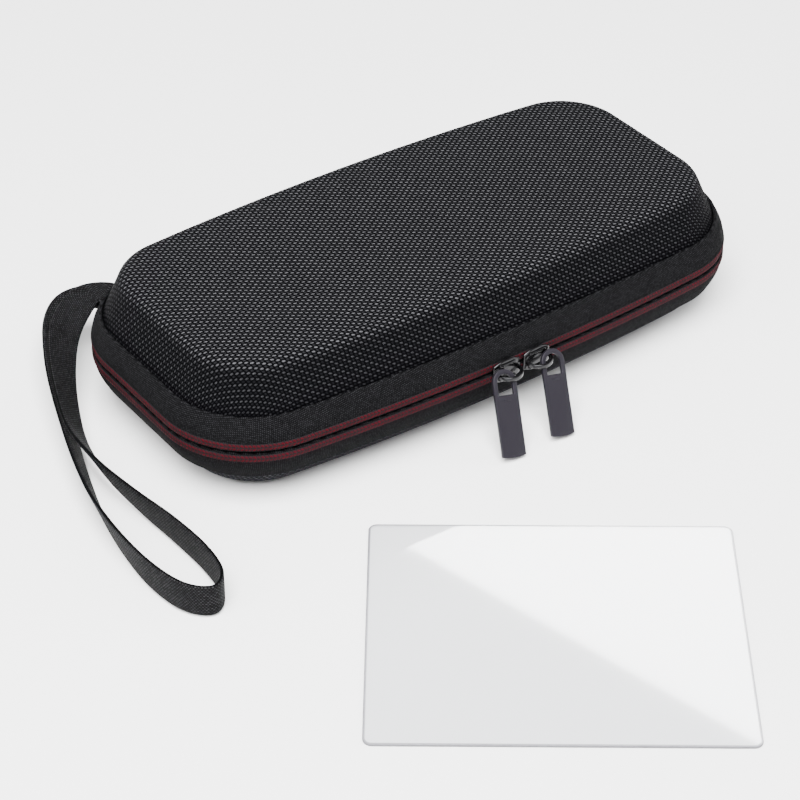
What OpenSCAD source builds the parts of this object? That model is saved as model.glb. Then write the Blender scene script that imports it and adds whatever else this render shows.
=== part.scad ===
// Zipped hard-shell carrying case with a wrist strap, and the clear flat sheet
// that goes with it.  Millimetres, +Z up, +X along the length, zip pulls at -Y.
// The origin is the middle of the flat underside that the case stands on.

/* [Outline] */
// Length of the zip line from end to end
case_len = 200; // [160:1:260]
// Width of the zip line at mid length
case_wid = 100; // [84:1:140]
// Radius of the zip line's four corners
corner_r = 30; // [28:0.5:38]
// How far each long side bows outward between its corners
side_bow = 3; // [1:0.5:6]

/* [Shells] */
// Height of the zip line above the underside
base_depth = 20.5; // [19.5:0.5:40]
// Height of the lid above the zip line
lid_rise = 24.3; // [20:0.1:45]
// Thickness of the moulded foam shells
shell_wall = 3; // [2:0.1:3.5]
// How far the drafted walls lean in from the zip line to the plateau edge
wall_lean = 9.8; // [8.5:0.1:11]
// Height of the lid's crown between its plateau edge and its middle
lid_crown = 0.7; // [0.2:0.1:2]
// Height of the belly under the base between its edge and the flat foot
base_crown = 2.6; // [1:0.1:4]
// Radius of the lid's outer edge
lid_edge_r = 4.5; // [3.5:0.1:6]
// Radius of the base's outer edge
base_edge_r = 4; // [3.5:0.1:6]
// Distance from the zip line in to the flat foot
foot_inset = 22; // [18:0.5:24]
// Thickness of the napped lining
lining_t = 0.8; // [0.4:0.1:1.5]
// Gap left between glued layers
glue_gap = 0.1; // [0.05:0.05:0.3]

/* [Zip band] */
// Height of the tape band on each side of the zip line
tape_h = 10.3; // [8:0.1:12]
// Thickness of the tape band
tape_t = 1.2; // [0.8:0.1:1.5]
// How far the band leans in over its height
tape_lean = 2.8; // [1:0.1:4]
// How far the band bulges outward
tape_bulge = 1; // [0.4:0.1:1.2]
// Width of the slit between the two halves of the zip
slit = 1; // [0.8:0.1:2]
// Height of the free tape between the zip line and the shell's rim
rim_z = 4.8; // [4.6:0.1:6]
// Radius of the coil sewn behind the tape
coil_r = 0.8; // [0.5:0.1:1]
// Width of each stitched stripe beside the slit
stripe_w = 2.3; // [1:0.1:3]
// Thickness of the stitched stripes
stripe_t = 0.25; // [0.1:0.05:0.4]

/* [Inside] */
// Thickness of the binding sewn over each rim
binding_t = 0.8; // [0.5:0.1:1.2]
// Width of the elastic band across the base
elastic_w = 26; // [15:1:50]
// Thickness of the elastic band
elastic_t = 1; // [0.6:0.1:1.5]
// Depth of the elastic band below the zip line
elastic_z = 5.4; // [5:0.1:8]
// Depth of the net pocket under the lid's lining
pocket_gap = 6; // [5.4:0.1:8]
// Thickness of the net
net_t = 0.6; // [0.4:0.1:1]
// Distance from the middle of the lid to the pocket's mouth
mouth_y = 18; // [10:1:20]
// Width of the elastic hem along the pocket's mouth
hem_w = 7; // [4:0.5:12]
// Thickness of the hem
hem_t = 1.4; // [1:0.1:2]

/* [Hinge] */
// Length of the cloth hinge strip
hinge_len = 112; // [60:1:116]
// Height of each leaf of the hinge strip
hinge_h = 8; // [5:0.5:9]
// Thickness of the hinge strip
hinge_t = 0.8; // [0.5:0.1:1.2]
// Length of the cloth patch over each end of the zip
patch_len = 8; // [5:0.5:10]

/* [Sliders] */
// Place of the left slider along the front
left_x = -4; // [-20:0.5:-4]
// Place of the right slider along the front
right_x = 7; // [7:0.5:20]
// Length of a slider
slider_len = 9.6; // [8:0.1:10.5]
// Height of a slider's front plate
slider_h = 7.6; // [6:0.1:8]
// Thickness of a slider's plates
plate_t = 1.1; // [0.8:0.1:1.5]
// Clearance between a slider and the zip
zip_gap = 0.3; // [0.2:0.05:0.5]
// Outer radius of the crown that carries the pull
crown_r = 4.4; // [4.2:0.1:4.8]
// Thickness of the crown's strap
crown_t = 0.8; // [0.6:0.1:1]
// Height of the crown's strap
crown_h = 1.4; // [1:0.1:1.8]

/* [Pull tabs] */
// Width of a pull tab
tab_w = 8; // [7.6:0.1:9]
// Length of a pull tab below the crown
tab_len = 23.4; // [16:0.1:24]
// Thickness of a pull tab
tab_t = 1.2; // [0.8:0.1:1.3]
// Width of the arms beside the slot
tab_arm = 1.4; // [1:0.1:1.6]
// Depth of the slot below the crown
slot_depth = 4.8; // [3.5:0.1:8]
// Angle at which a pull leans out from the vertical
tab_lean = 33; // [33:1:40]
// Angle by which both pulls rest swung to the left
tab_rest = 12; // [0:1:14]

/* [Wrist strap and sheet] */
// Width of the webbing
strap_w = 10; // [6:0.5:12]
// Thickness of the webbing
strap_t = 1.2; // [0.8:0.1:1.6]
// Length of the clear sheet
sheet_len = 103; // [80:1:130]
// Width of the clear sheet
sheet_wid = 89.5; // [50:0.5:110]
// Thickness of the clear sheet
sheet_t = 0.8; // [0.5:0.1:2]
// Corner radius of the clear sheet
sheet_r = 2.5; // [1:0.5:6]

/* [Hidden] */
$fn = 96;
// The zip line: corner arcs and long side arcs that meet tangent to each other
half_len = case_len / 2;
half_wid = case_wid / 2;
corner_x = half_len - corner_r;
side_r = (corner_x * corner_x + side_bow * side_bow) / (2 * side_bow);
side_y = side_r - half_wid;
corner_y = sqrt(pow(side_r - corner_r, 2) - corner_x * corner_x) - side_y;
side_turn = asin(corner_x / (side_r - corner_r));
side_facets = 720;
corner_steps = 8;
side_steps = 6;

// Tape band
tape_steps = 5;
rim_share = (rim_z - slit / 2) / (tape_h - slit / 2);

// Shell sections, from the rim to the middle, as inset and height
wall_foot = tape_lean + tape_t + glue_gap;
lid_corner = [wall_lean, lid_rise - lid_crown];
base_corner = [wall_lean, base_depth - base_crown];
lining_face = shell_wall + glue_gap;
lining_back = lining_face + lining_t;
shell_steps = 6;
lining_steps = 3;

// The folded edge of the tape band: where the fold starts, and its easing
fold_share = 0.97;
fold_ease = [0.35, 0.05];

// Slider sections, measured out from the zip line
plate_y = stripe_t + glue_gap / 2 + zip_gap;
plate_face = plate_y + plate_t;
// The crown's centre stands proud of the plate, and the pull hangs near its front
crown_out = 0.5;
crown_y = plate_face + crown_out;
tab_y = crown_y + 2.05;
tab_x = sqrt(pow(crown_r - crown_t / 2, 2) - pow(tab_y - crown_y, 2));
// Room behind the coils and beside the neck
rear_gap = 0.5;
neck_gap = 0.15;
rear_y = tape_t + glue_gap + 2 * coil_r + rear_gap;
neck_z = slit / 2 - neck_gap;
// Height of the pull's slot above the crown's middle
slot_top = 1.45;

// Wrist strap
anchor_turn = 11.5;
anchor_w = strap_w + 2;
anchor_out = 4.2;
anchor_top = 1.2;
anchor_h = 4.6;
// Middle of the webbing and its tilt: out of the case, round the loop and back
strap_route = [
    [-76.83, 50.6, 16, 0], [-77.13, 52.07, 16, 1], [-77.9, 55.4, 16, 4], [-81.5, 59.5, 15.8, 13],
    [-88.5, 60, 15, 25],    [-96, 54, 13.6, 38], [-102.5, 44, 12, 48], [-109, 31, 10, 56], [-115.5, 14, 8, 62],
    [-121.5, -4, 6.6, 66], [-126, -21, 6, 71], [-128.5, -38, 5.8, 79],
    [-129, -55, 5.8, 87], [-126.5, -68, 5.8, 90], [-120.5, -74, 5.8, 90],
    [-115, -69.5, 5.8, 90], [-113, -58, 5.8, 90], [-113.5, -42, 5.8, 94],
    [-115.5, -26, 6.4, 103], [-117, -9, 7.6, 113], [-116, 7, 9.2, 123],
    [-111, 22, 11.2, 129], [-104.5, 36, 13.4, 138], [-97.5, 47, 15.4, 150],
    [-90.5, 53.5, 17, 162], [-83.5, 57.5, 18, 171], [-77.85, 55.3, 18.4, 178],
    [-77.13, 52.07, 18.4, 179], [-76.83, 50.6, 18.4, 180]
];

// Clear sheet on the table in front of the case
sheet_away = 83;
sheet_place = [-49, -half_wid - sheet_away, 0];
sheet_turn = -36;

lid_colour = [0.09, 0.09, 0.1];
base_colour = [0.06, 0.06, 0.09];
tape_colour = [0.16, 0.16, 0.17];
stripe_colour = [0.38, 0.07, 0.11];
lining_colour = [0.12, 0.12, 0.13];
trim_colour = [0.07, 0.07, 0.08];
metal_colour = [0.05, 0.05, 0.06];
tab_colour = [0.26, 0.24, 0.28];
clear_colour = [0.75, 0.78, 0.8, 0.35];

// ---- sections, all as [inset from the zip line, height from the zip line] ----

function inward(d) = [d[1], -d[0]] / norm(d);

// a path moved inward by t, with its first point kept at its own height
function moved(path, t) = [
    for (i = [0 : len(path) - 1])
        let (
            before = path[max(i, 1)] - path[max(i, 1) - 1],
            after = path[min(i + 1, len(path) - 1)] - path[min(i, len(path) - 2)],
            n1 = inward(before),
            n2 = inward(after)
        )
        i == 0 ? path[0] + [t / n2[0], 0] : path[i] + t * (n1 + n2) / (1 + n1 * n2)
];

// a path with the corner at one point rounded to a radius
function rounded(path, at, r, steps = 6) = let (
    d1 = path[at] - path[at - 1],
    d2 = path[at + 1] - path[at],
    a1 = atan2(d1[1], d1[0]),
    a2 = atan2(d2[1], d2[0]),
    start = path[at] - d1 / norm(d1) * r * tan((a1 - a2) / 2),
    centre = start + r * inward(d1)
) [
    for (i = [0 : len(path) - 1])
        if (i != at) path[i] else
            for (k = [0 : steps])
                let (a = a1 + (a2 - a1) * k / steps)
                centre - r * inward([cos(a), sin(a)])
];

function tape_point(share) = [
    tape_lean * share - tape_bulge * sin(180 * share),
    slit / 2 + (tape_h - slit / 2) * share
];

function shell_path(edge, top) = [
    tape_point(rim_share) + [tape_t + glue_gap, 0],
    [wall_foot, tape_h],
    edge,
    [foot_inset, top],
    [foot_inset + 1, top]
];

// the surface at a depth below the outside of a shell, from its rim to its flat
function shell_face(edge, top, depth, r, steps) = let (
    path = rounded(moved(shell_path(edge, top), depth), 2, r, steps)
) [for (i = [0 : len(path) - 2]) path[i]];

// ---- sweeps along the zip line ----

// a station is an arc's centre and radius and the direction out from it
function arc_stations(x, y, r, from, to, steps, first, last) = [
    for (i = [first : last]) [x, y, r, from + (to - from) * i / steps]
];
function corner_stations(x, y, from, to) =
    arc_stations(x, y, corner_r, from, to, corner_steps, 0, corner_steps);
function side_stations(y, from, to) = arc_stations(0, y, side_r, from, to, side_steps, 1, side_steps - 1);

// round the left end, along the front and round the right end
zip_stations = concat(
    corner_stations(-corner_x, corner_y, 90 + side_turn, 180),
    corner_stations(-corner_x, -corner_y, 180, 270 - side_turn),
    side_stations(side_y, 270 - side_turn, 270 + side_turn),
    corner_stations(corner_x, -corner_y, 270 + side_turn, 360),
    corner_stations(corner_x, corner_y, 0, 90 - side_turn)
);
ring_stations = concat(zip_stations, side_stations(-side_y, 90 - side_turn, 90 + side_turn));

function on_station(s, inset) = [s[0] + (s[2] - inset) * cos(s[3]), s[1] + (s[2] - inset) * sin(s[3])];
function loop(inset) = [for (s = ring_stations) on_station(s, inset)];
function swept_points(stations, section) = [
    for (s = stations, p = section) let (q = on_station(s, p[0])) [q[0], q[1], p[1]]
];

// the four-sided faces between stations, for sections that turn the same way
function swept_faces(count, points, closed, shut) = [
    for (i = [0 : count - (closed ? 1 : 2)], k = [0 : points - (shut ? 1 : 2)])
        let (a = i * points, b = ((i + 1) % count) * points, n = (k + 1) % points)
        [a + k, a + n, b + n, b + k]
];

function area_part(section, i) = cross(section[(i - 1) % len(section)], section[i % len(section)]);
function twice_area(section) = [
    for (i = 0, sum = 0; i <= len(section);
        i = i + 1, sum = sum + (i <= len(section) ? area_part(section, i) : 0)) sum
][len(section)];
function turned(section) = twice_area(section) > 0 ? section
    : [for (i = [len(section) - 1 : -1 : 0]) section[i]];

module ring(section) {
    s = turned(section);
    polyhedron(
        points = swept_points(ring_stations, s),
        faces = swept_faces(len(ring_stations), len(s), true, true),
        convexity = 6
    );
}

// everything but the back side, which has no zip
module zip_run(section) {
    s = turned(section);
    count = len(zip_stations);
    polyhedron(
        points = swept_points(zip_stations, s),
        faces = concat(
            swept_faces(count, len(s), false, true),
            [[for (k = [len(s) - 1 : -1 : 0]) k], [for (k = [0 : len(s) - 1]) (count - 1) * len(s) + k]]
        ),
        convexity = 6
    );
}

// a hollow shell between two faces that both run from the rim to the flat
module shell(outer, inner) {
    chain = concat([for (i = [len(inner) - 1 : -1 : 0]) inner[i]], outer);
    count = len(ring_stations);
    last = len(chain) - 1;
    polyhedron(
        points = swept_points(ring_stations, chain),
        faces = concat(
            swept_faces(count, len(chain), true, false),
            [
                [for (i = [count - 1 : -1 : 0]) i * len(chain) + last],
                [for (i = [0 : count - 1]) i * len(chain)]
            ]
        ),
        convexity = 6
    );
}

// builds a half upward from the zip line at its height above the table
module lid_half() {
    translate([0, 0, base_depth]) children();
}

module base_half() {
    translate([0, 0, base_depth]) mirror([0, 0, 1]) children();
}

// ---- shells and linings ----

module layer(edge, top, edge_r, from, to, steps) {
    shell(
        shell_face(edge, top, from, max(edge_r - from, 0.6), steps),
        shell_face(edge, top, to, max(edge_r - to, 0.4), steps)
    );
}

module lid_layer(from, to, steps) {
    lid_half() layer(lid_corner, lid_rise, lid_edge_r, from, to, steps);
}

module base_layer(from, to, steps) {
    base_half() layer(base_corner, base_depth, base_edge_r, from, to, steps);
}

module base_shell() {
    color(base_colour) base_layer(0, shell_wall, shell_steps);
}

module base_lining() {
    color(lining_colour) base_layer(lining_face, lining_back, lining_steps);
}

module lid_shell() {
    color(lid_colour) lid_layer(0, shell_wall, shell_steps);
}

module lid_lining() {
    color(lining_colour) lid_layer(lining_face, lining_back, lining_steps);
}

// ---- zip band ----

// the tape's folded edge stands on the shell's wall
tape_section = concat(
    [for (i = [0 : tape_steps - 1]) tape_point(i / tape_steps)],
    [
        tape_point(fold_share),
        tape_point(1) + fold_ease,
        tape_point(1) + [tape_t, 0]
    ],
    [for (i = [tape_steps - 1 : -1 : 0]) tape_point(i / tape_steps) + [tape_t, 0]]
);

coil_section = [
    for (a = [0 : 60 : 300])
        [tape_t + glue_gap + coil_r, slit / 2 + glue_gap + coil_r] + coil_r * [cos(a), sin(a)]
];

stripe_from = 0.03;
stripe_to = stripe_from + stripe_w / (tape_h - slit / 2);
stripe_steps = 2;
stripe_gap = glue_gap / 2;
stripe_shares = [for (i = [0 : stripe_steps]) stripe_from + (stripe_to - stripe_from) * i / stripe_steps];
stripe_section = concat(
    [for (s = stripe_shares) tape_point(s) - [stripe_gap + stripe_t, 0]],
    [for (i = [stripe_steps : -1 : 0]) tape_point(stripe_shares[i]) - [stripe_gap, 0]]
);

module lower_tape() {
    color(tape_colour) base_half() ring(tape_section);
}

module upper_tape() {
    color(tape_colour) lid_half() ring(tape_section);
}

module lower_coil() {
    color(trim_colour) base_half() zip_run(coil_section);
}

module upper_coil() {
    color(trim_colour) lid_half() zip_run(coil_section);
}

module lower_stripe() {
    color(stripe_colour) base_half() zip_run(stripe_section);
}

module upper_stripe() {
    color(stripe_colour) lid_half() zip_run(stripe_section);
}

// ---- bindings over the rims ----

// the leg lies on the lining, and the lip turns out over the shell's rim
function on_wall(edge, top, depth, height) = let (
    path = moved(shell_path(edge, top), depth)
) path[0] + (path[1] - path[0]) * (height - path[0][1]) / (path[1][1] - path[0][1]);

function wall_bend(edge, top, depth) = moved(shell_path(edge, top), depth)[1];

lip_gap = 0.4;
lip_from = tape_t + glue_gap + 2 * coil_r + lip_gap;
binding_back = lining_back + glue_gap;

function binding_section(edge, top) = [
    [lip_from, rim_z - glue_gap - binding_t],
    [lip_from, rim_z - glue_gap],
    [on_wall(edge, top, binding_back, rim_z)[0], rim_z - glue_gap],
    wall_bend(edge, top, binding_back),
    wall_bend(edge, top, binding_back + binding_t),
    on_wall(edge, top, binding_back + binding_t, rim_z - glue_gap - binding_t)
];

module base_binding() {
    color(trim_colour) base_half() ring(binding_section(base_corner, base_depth));
}

module lid_binding() {
    color(trim_colour) lid_half() ring(binding_section(lid_corner, lid_rise));
}

// ---- inside the case ----

// elastic band: sewn to the lining at both long sides below the binding
band_face = binding_back + binding_t + 2 * glue_gap;
band_low = on_wall(base_corner, base_depth, band_face, elastic_z);
band_high = wall_bend(base_corner, base_depth, band_face);
elastic_edge = [
    [half_wid - band_low[0] - 1.5 * elastic_t, elastic_z + elastic_t],
    [half_wid - band_high[0] - elastic_t, band_high[1]],
    [half_wid - band_high[0], band_high[1]],
    [half_wid - band_low[0], elastic_z]
];
elastic_back = [for (i = [len(elastic_edge) - 1 : -1 : 0]) [-elastic_edge[i][0], elastic_edge[i][1]]];
module elastic_band() {
    color(trim_colour) base_half()
        rotate([90, 0, 90])
            linear_extrude(elastic_w, center = true)
                polygon(concat(elastic_edge, elastic_back));
}

// net pocket: hangs under the lid's lining, open along the front
net_top = lid_rise - lining_back - pocket_gap;
net_path = moved(shell_path(lid_corner, lid_rise), lining_back + 3 * glue_gap);
function net_inset(height) = net_path[1][0]
    + (height - net_path[1][1]) * (net_path[2][0] - net_path[1][0]) / (net_path[2][1] - net_path[1][1]);
module net_pocket() {
    color(trim_colour) lid_half()
        translate([0, 0, net_top - net_t])
            linear_extrude(net_t)
                intersection() {
                    polygon(loop(net_inset(net_top)));
                    translate([-half_len, -mouth_y]) square([case_len, case_wid]);
                }
}

module pocket_hem() {
    front = mouth_y + glue_gap + hem_w;
    end_r = corner_r - net_inset(net_top + hem_t);
    reach = corner_x + sqrt(pow(end_r, 2) - pow(max(front - corner_y, 0), 2)) - 2 * glue_gap;
    color(trim_colour) lid_half()
        translate([-reach, -front, net_top - (net_t + hem_t) / 2])
            cube([2 * reach, hem_w, hem_t]);
}

// ---- cloth hinge and zip end patches, on the outside of the back ----

leaf_gap = 0.3;
leaf_shares = [for (i = [0 : 4]) i * (hinge_h - leaf_gap) / (4 * tape_h)];
function leaf_face(share, out) = tape_point(share) - [out, 0] + [0, leaf_gap - slit / 2];
leaf_section = concat(
    [for (s = leaf_shares) leaf_face(s, glue_gap + hinge_t)],
    [for (i = [len(leaf_shares) - 1 : -1 : 0]) leaf_face(leaf_shares[i], glue_gap)]
);

// a strip of the back side between two places along it
module back_strip(section, from_x, to_x) {
    from_turn = asin(from_x / side_r);
    to_turn = asin(to_x / side_r);
    translate([0, -side_y, 0])
        rotate([0, 0, 90 - to_turn])
            rotate_extrude(angle = to_turn - from_turn, $fn = side_facets)
                polygon([for (p = section) [side_r - p[0], p[1]]]);
}

module hinge_leaf_lower() {
    color(trim_colour) base_half() back_strip(leaf_section, -hinge_len / 2, hinge_len / 2);
}

module hinge_leaf_upper() {
    color(trim_colour) lid_half() back_strip(leaf_section, -hinge_len / 2, hinge_len / 2);
}

patch_from = hinge_len / 2 + 1;
module zip_patch_left() {
    color(trim_colour) base_half() back_strip(leaf_section, -patch_from - patch_len, -patch_from);
}

module zip_patch_right() {
    color(trim_colour) base_half() back_strip(leaf_section, patch_from, patch_from + patch_len);
}

// ---- wrist strap ----

// folded cloth loop sewn to the band at the back left corner
module strap_anchor() {
    color(trim_colour) base_half()
        translate([-corner_x, corner_y, 0])
            rotate([0, 0, anchor_turn])
                translate([-anchor_w / 2, corner_r + 2 * glue_gap + stripe_t, anchor_top])
                    cube([anchor_w, anchor_out - 2 * glue_gap - stripe_t, anchor_h]);
}

function unit(v) = v / norm(v);
function place(i) = [strap_route[i][0], strap_route[i][1], strap_route[i][2]];
function curve(a, b, c, d, t) = 0.5 * (2 * b + (c - a) * t + (2 * a - 5 * b + 4 * c - d) * t * t
    + (3 * b - a - 3 * c + d) * t * t * t);
strap_last = len(strap_route) - 1;
strap_cuts = 2;
strap_stations = [
    for (i = [0 : strap_last - 1])
        for (k = [0 : strap_cuts - 1])
            curve(
                strap_route[max(i - 1, 0)], strap_route[i],
                strap_route[i + 1], strap_route[min(i + 2, strap_last)], k / strap_cuts
            ),
    strap_route[strap_last]
];
function station(i) = [strap_stations[i][0], strap_stations[i][1], strap_stations[i][2]];
strap_count = len(strap_stations);

// the webbing's cross-section, flat with eased edges
strap_corners = [
    [-0.5, -0.25], [-0.44, -0.5], [0.44, -0.5], [0.5, -0.25],
    [0.5, 0.25], [0.44, 0.5], [-0.44, 0.5], [-0.5, 0.25]
];
strap_sides = len(strap_corners);

strap_points = [
    for (i = [0 : strap_count - 1])
        let (
            ahead = unit(station(min(i + 1, strap_count - 1)) - station(max(i - 1, 0))),
            level = unit(cross(ahead, [0, 0, 1])),
            rise = cross(level, ahead),
            tilt = strap_stations[i][3],
            across = level * cos(tilt) + rise * sin(tilt),
            thick = cross(across, ahead)
        )
        for (c = strap_corners) station(i) + across * c[0] * strap_w + thick * c[1] * strap_t
];
strap_faces = concat(
    [[for (k = [0 : strap_sides - 1]) k]],
    [
        for (i = [0 : strap_count - 2])
            for (k = [0 : strap_sides - 1])
                let (a = i * strap_sides + k, b = i * strap_sides + (k + 1) % strap_sides)
                each [[a, a + strap_sides, b + strap_sides], [a, b + strap_sides, b]]
    ],
    [[for (k = [strap_sides - 1 : -1 : 0]) (strap_count - 1) * strap_sides + k]]
);

module wrist_strap() {
    color(trim_colour) polyhedron(points = strap_points, faces = strap_faces, convexity = 8);
}

// ---- sliders ----

// carries its children to a place on the front, facing out along -Y
module at_front(x) {
    translate([0, side_y, base_depth])
        rotate([0, 0, asin(x / side_r)])
            translate([0, -side_r, 0]) children();
}

// a slider plate seen from the front: two flat arcs with blunt ends
module plate_shape(length, height) {
    bow_r = length;
    intersection() {
        square([length, height], center = true);
        translate([0, bow_r - height / 2]) circle(r = bow_r);
        translate([0, height / 2 - bow_r]) circle(r = bow_r);
    }
}

module plate(length, height, from_y, thick) {
    translate([0, from_y, 0])
        rotate([90, 0, 0])
            linear_extrude(thick) plate_shape(length, height);
}

bevel = 0.35;
crown_ease = 0.2;
rear_h = 2 * (rim_z - glue_gap - binding_t - 0.5);
neck_len = 2.4;

module slider() {
    // front plate with a bevelled rim
    plate(slider_len, slider_h, -plate_y, plate_t - bevel);
    plate(slider_len - 2 * bevel, slider_h - 2 * bevel, bevel - plate_face, bevel);
    // neck through the slit, and the rear plate behind the coils
    translate([-neck_len / 2, -plate_y, -neck_z])
        cube([neck_len, plate_y + rear_y, 2 * neck_z]);
    plate(slider_len, rear_h, rear_y + plate_t, plate_t);
    // crown: an upright strap bent round in the level plane
    translate([0, -crown_y, 0]) {
        rotate([0, 0, 180])
            rotate_extrude(angle = 180)
                translate([crown_r - crown_t, -crown_h / 2])
                    polygon([
                        [0, crown_ease], [crown_ease, 0], [crown_t - crown_ease, 0], [crown_t, crown_ease],
                        [crown_t, crown_h - crown_ease], [crown_t - crown_ease, crown_h],
                        [crown_ease, crown_h], [0, crown_h - crown_ease]
                    ]);
        for (m = [0, 1]) mirror([m, 0, 0])
            translate([crown_r - crown_t, 0, -crown_h / 2])
                cube([crown_t, crown_y - plate_face + bevel / 2, crown_h]);
    }
}

module slider_left() {
    color(metal_colour) at_front(left_x) slider();
}

module slider_right() {
    color(metal_colour) at_front(right_x) slider();
}

// ---- pull tabs ----

// seen from the front: an arch over the crown, a slot and a plate with a curved foot
module tab_shape() {
    arch_y = slot_top + tab_arm - tab_w / 2;
    slot_r = tab_w / 2 - tab_arm;
    foot_r = 1.8 * tab_w;
    difference() {
        intersection() {
            union() {
                translate([0, arch_y]) circle(d = tab_w);
                translate([-tab_w / 2, -tab_len]) square([tab_w, tab_len + arch_y]);
            }
            translate([-tab_w, -tab_len]) square([2 * tab_w, tab_len + slot_top + tab_arm]);
            union() {
                translate([0, foot_r - tab_len]) circle(r = foot_r);
                translate([-tab_w / 2, foot_r - tab_len]) square([tab_w, tab_len]);
            }
        }
        translate([0, arch_y]) circle(r = slot_r);
        translate([-slot_r, -slot_depth]) square([2 * slot_r, slot_depth + arch_y]);
    }
}

module pull_tab(x, hand) {
    at_front(x)
        translate([hand * tab_x, -tab_y, 0])
            rotate([-tab_lean, 0, 0])
                rotate([90, 0, 0])
                    linear_extrude(tab_t, center = true)
                        rotate([0, 0, -tab_rest]) tab_shape();
}

module pull_tab_left() {
    color(tab_colour) pull_tab(left_x, -1);
}

module pull_tab_right() {
    color(tab_colour) pull_tab(right_x, 1);
}

// ---- clear sheet ----

module clear_sheet() {
    color(clear_colour)
        translate(sheet_place)
            rotate([0, 0, sheet_turn])
                linear_extrude(sheet_t) {
                    square([sheet_len - 2 * sheet_r, sheet_wid], center = true);
                    square([sheet_len, sheet_wid - 2 * sheet_r], center = true);
                    for (x = [-1, 1], y = [-1, 1])
                        translate([x * (sheet_len / 2 - sheet_r), y * (sheet_wid / 2 - sheet_r)])
                            circle(r = sheet_r);
                }
}

base_shell();
base_lining();
lower_tape();
lower_coil();
lower_stripe();
base_binding();
elastic_band();
hinge_leaf_lower();
zip_patch_left();
zip_patch_right();
strap_anchor();
wrist_strap();
lid_shell();
lid_lining();
upper_tape();
upper_coil();
upper_stripe();
lid_binding();
net_pocket();
pocket_hem();
hinge_leaf_upper();
slider_left();
slider_right();
pull_tab_left();
pull_tab_right();
clear_sheet();
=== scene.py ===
"""Dresses a zipped hard-shell carrying case, its wrist strap and the clear sheet that goes with it."""
from math import asin, atan2, copysign, cos, hypot, pi, radians, sin, sqrt, tan

import bmesh
import bpy
from mathutils import Matrix, Vector
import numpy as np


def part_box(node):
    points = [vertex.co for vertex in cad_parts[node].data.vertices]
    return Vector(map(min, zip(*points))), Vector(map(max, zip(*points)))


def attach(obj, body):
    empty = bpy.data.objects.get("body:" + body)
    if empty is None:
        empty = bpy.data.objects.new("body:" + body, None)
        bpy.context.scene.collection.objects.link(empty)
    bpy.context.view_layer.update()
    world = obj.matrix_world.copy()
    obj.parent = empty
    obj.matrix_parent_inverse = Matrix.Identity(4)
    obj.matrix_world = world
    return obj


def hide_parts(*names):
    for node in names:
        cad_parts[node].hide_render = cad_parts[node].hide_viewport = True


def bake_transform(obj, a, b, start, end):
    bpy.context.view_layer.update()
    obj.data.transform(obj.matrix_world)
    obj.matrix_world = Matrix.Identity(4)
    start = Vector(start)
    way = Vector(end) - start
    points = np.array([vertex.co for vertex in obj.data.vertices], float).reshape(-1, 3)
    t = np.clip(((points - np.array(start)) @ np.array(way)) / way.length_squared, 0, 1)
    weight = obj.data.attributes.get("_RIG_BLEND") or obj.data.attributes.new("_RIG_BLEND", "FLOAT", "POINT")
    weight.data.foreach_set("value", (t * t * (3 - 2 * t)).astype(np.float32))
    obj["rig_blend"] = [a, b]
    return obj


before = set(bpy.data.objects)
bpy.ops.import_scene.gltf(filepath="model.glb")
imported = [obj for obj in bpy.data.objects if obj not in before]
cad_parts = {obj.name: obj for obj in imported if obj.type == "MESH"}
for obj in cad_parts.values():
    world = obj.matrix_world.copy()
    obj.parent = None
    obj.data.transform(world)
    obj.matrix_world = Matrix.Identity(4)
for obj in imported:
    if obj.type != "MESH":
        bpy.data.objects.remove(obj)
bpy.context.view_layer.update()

bl_info = {
    "name": "Carrying case",
    "version": (1, 0, 0),
    "blender": (4, 5, 0),
    "location": "View3D > Sidebar > Case",
    "description": "Models and finishes a zipped hard-shell carrying case",
    "category": "Object",
}

MM = 0.001

# ---- the case's own sizes ----
HALF_LEN = 100 * MM
HALF_WID = 50 * MM
CORNER_R = 30 * MM
SIDE_BOW = 3 * MM
BASE_DEPTH = 20.5 * MM
LID_RISE = 24.3 * MM
SHELL_WALL = 3 * MM
WALL_LEAN = 9.8 * MM
LID_CROWN = 0.7 * MM
BASE_CROWN = 2.6 * MM
LID_EDGE_R = 4.5 * MM
BASE_EDGE_R = 4 * MM
FOOT_INSET = 22 * MM
FOOT_R = 30 * MM
FLAT_RUN = 4 * MM
LEAST_R = 0.6 * MM
RIM_R = 1.5 * MM
RUN_INSET = 12 * MM
LINING_T = 0.8 * MM
GLUE = 0.1 * MM
TAPE_H = 10.3 * MM
TAPE_T = 1.2 * MM
TAPE_LEAN = 2.8 * MM
TAPE_BULGE = 1 * MM
SLIT = 1 * MM
RIM_Z = 4.8 * MM
COIL_R = 0.8 * MM
STRIPE_W = 2.3 * MM
STRIPE_T = 0.25 * MM
BINDING_T = 0.8 * MM
HINGE_LEN = 112 * MM
HINGE_H = 8 * MM
HINGE_T = 0.8 * MM
HINGE_AXIS_Y = 51 * MM
HINGE_BEND = 4.2 * MM
HINGE_SEAMS = (6.9 * MM, 5.4 * MM)
PATCH_SEAMS = (-1.5 * MM, -6.8 * MM)
PATCH_ENDS = (2.1 * MM, 7.9 * MM)
MOUTH_Y = 18 * MM
NET_SAG = 1.4 * MM
GATHER = 0.16 * MM
GATHER_PITCH = 5.2 * MM
LEFT_X = -4 * MM
RIGHT_X = 7 * MM
SLIDER_LEN = 9.6 * MM
SLIDER_H = 7.6 * MM
PLATE_T = 1.1 * MM
PLATE_DOME = 0.35 * MM
REAR_DOME = 0.08 * MM
NECK_W = 2.4 * MM
NECK_H = 0.7 * MM
CHEEK_T = 0.5 * MM
CHEEK_H = 0.8 * MM
SEAT = 0.02 * MM
ZIP_GAP = 0.3 * MM
CROWN_R = 4.4 * MM
CROWN_T = 0.8 * MM
CROWN_H = 1.4 * MM
TAB_T = 1.2 * MM
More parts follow.
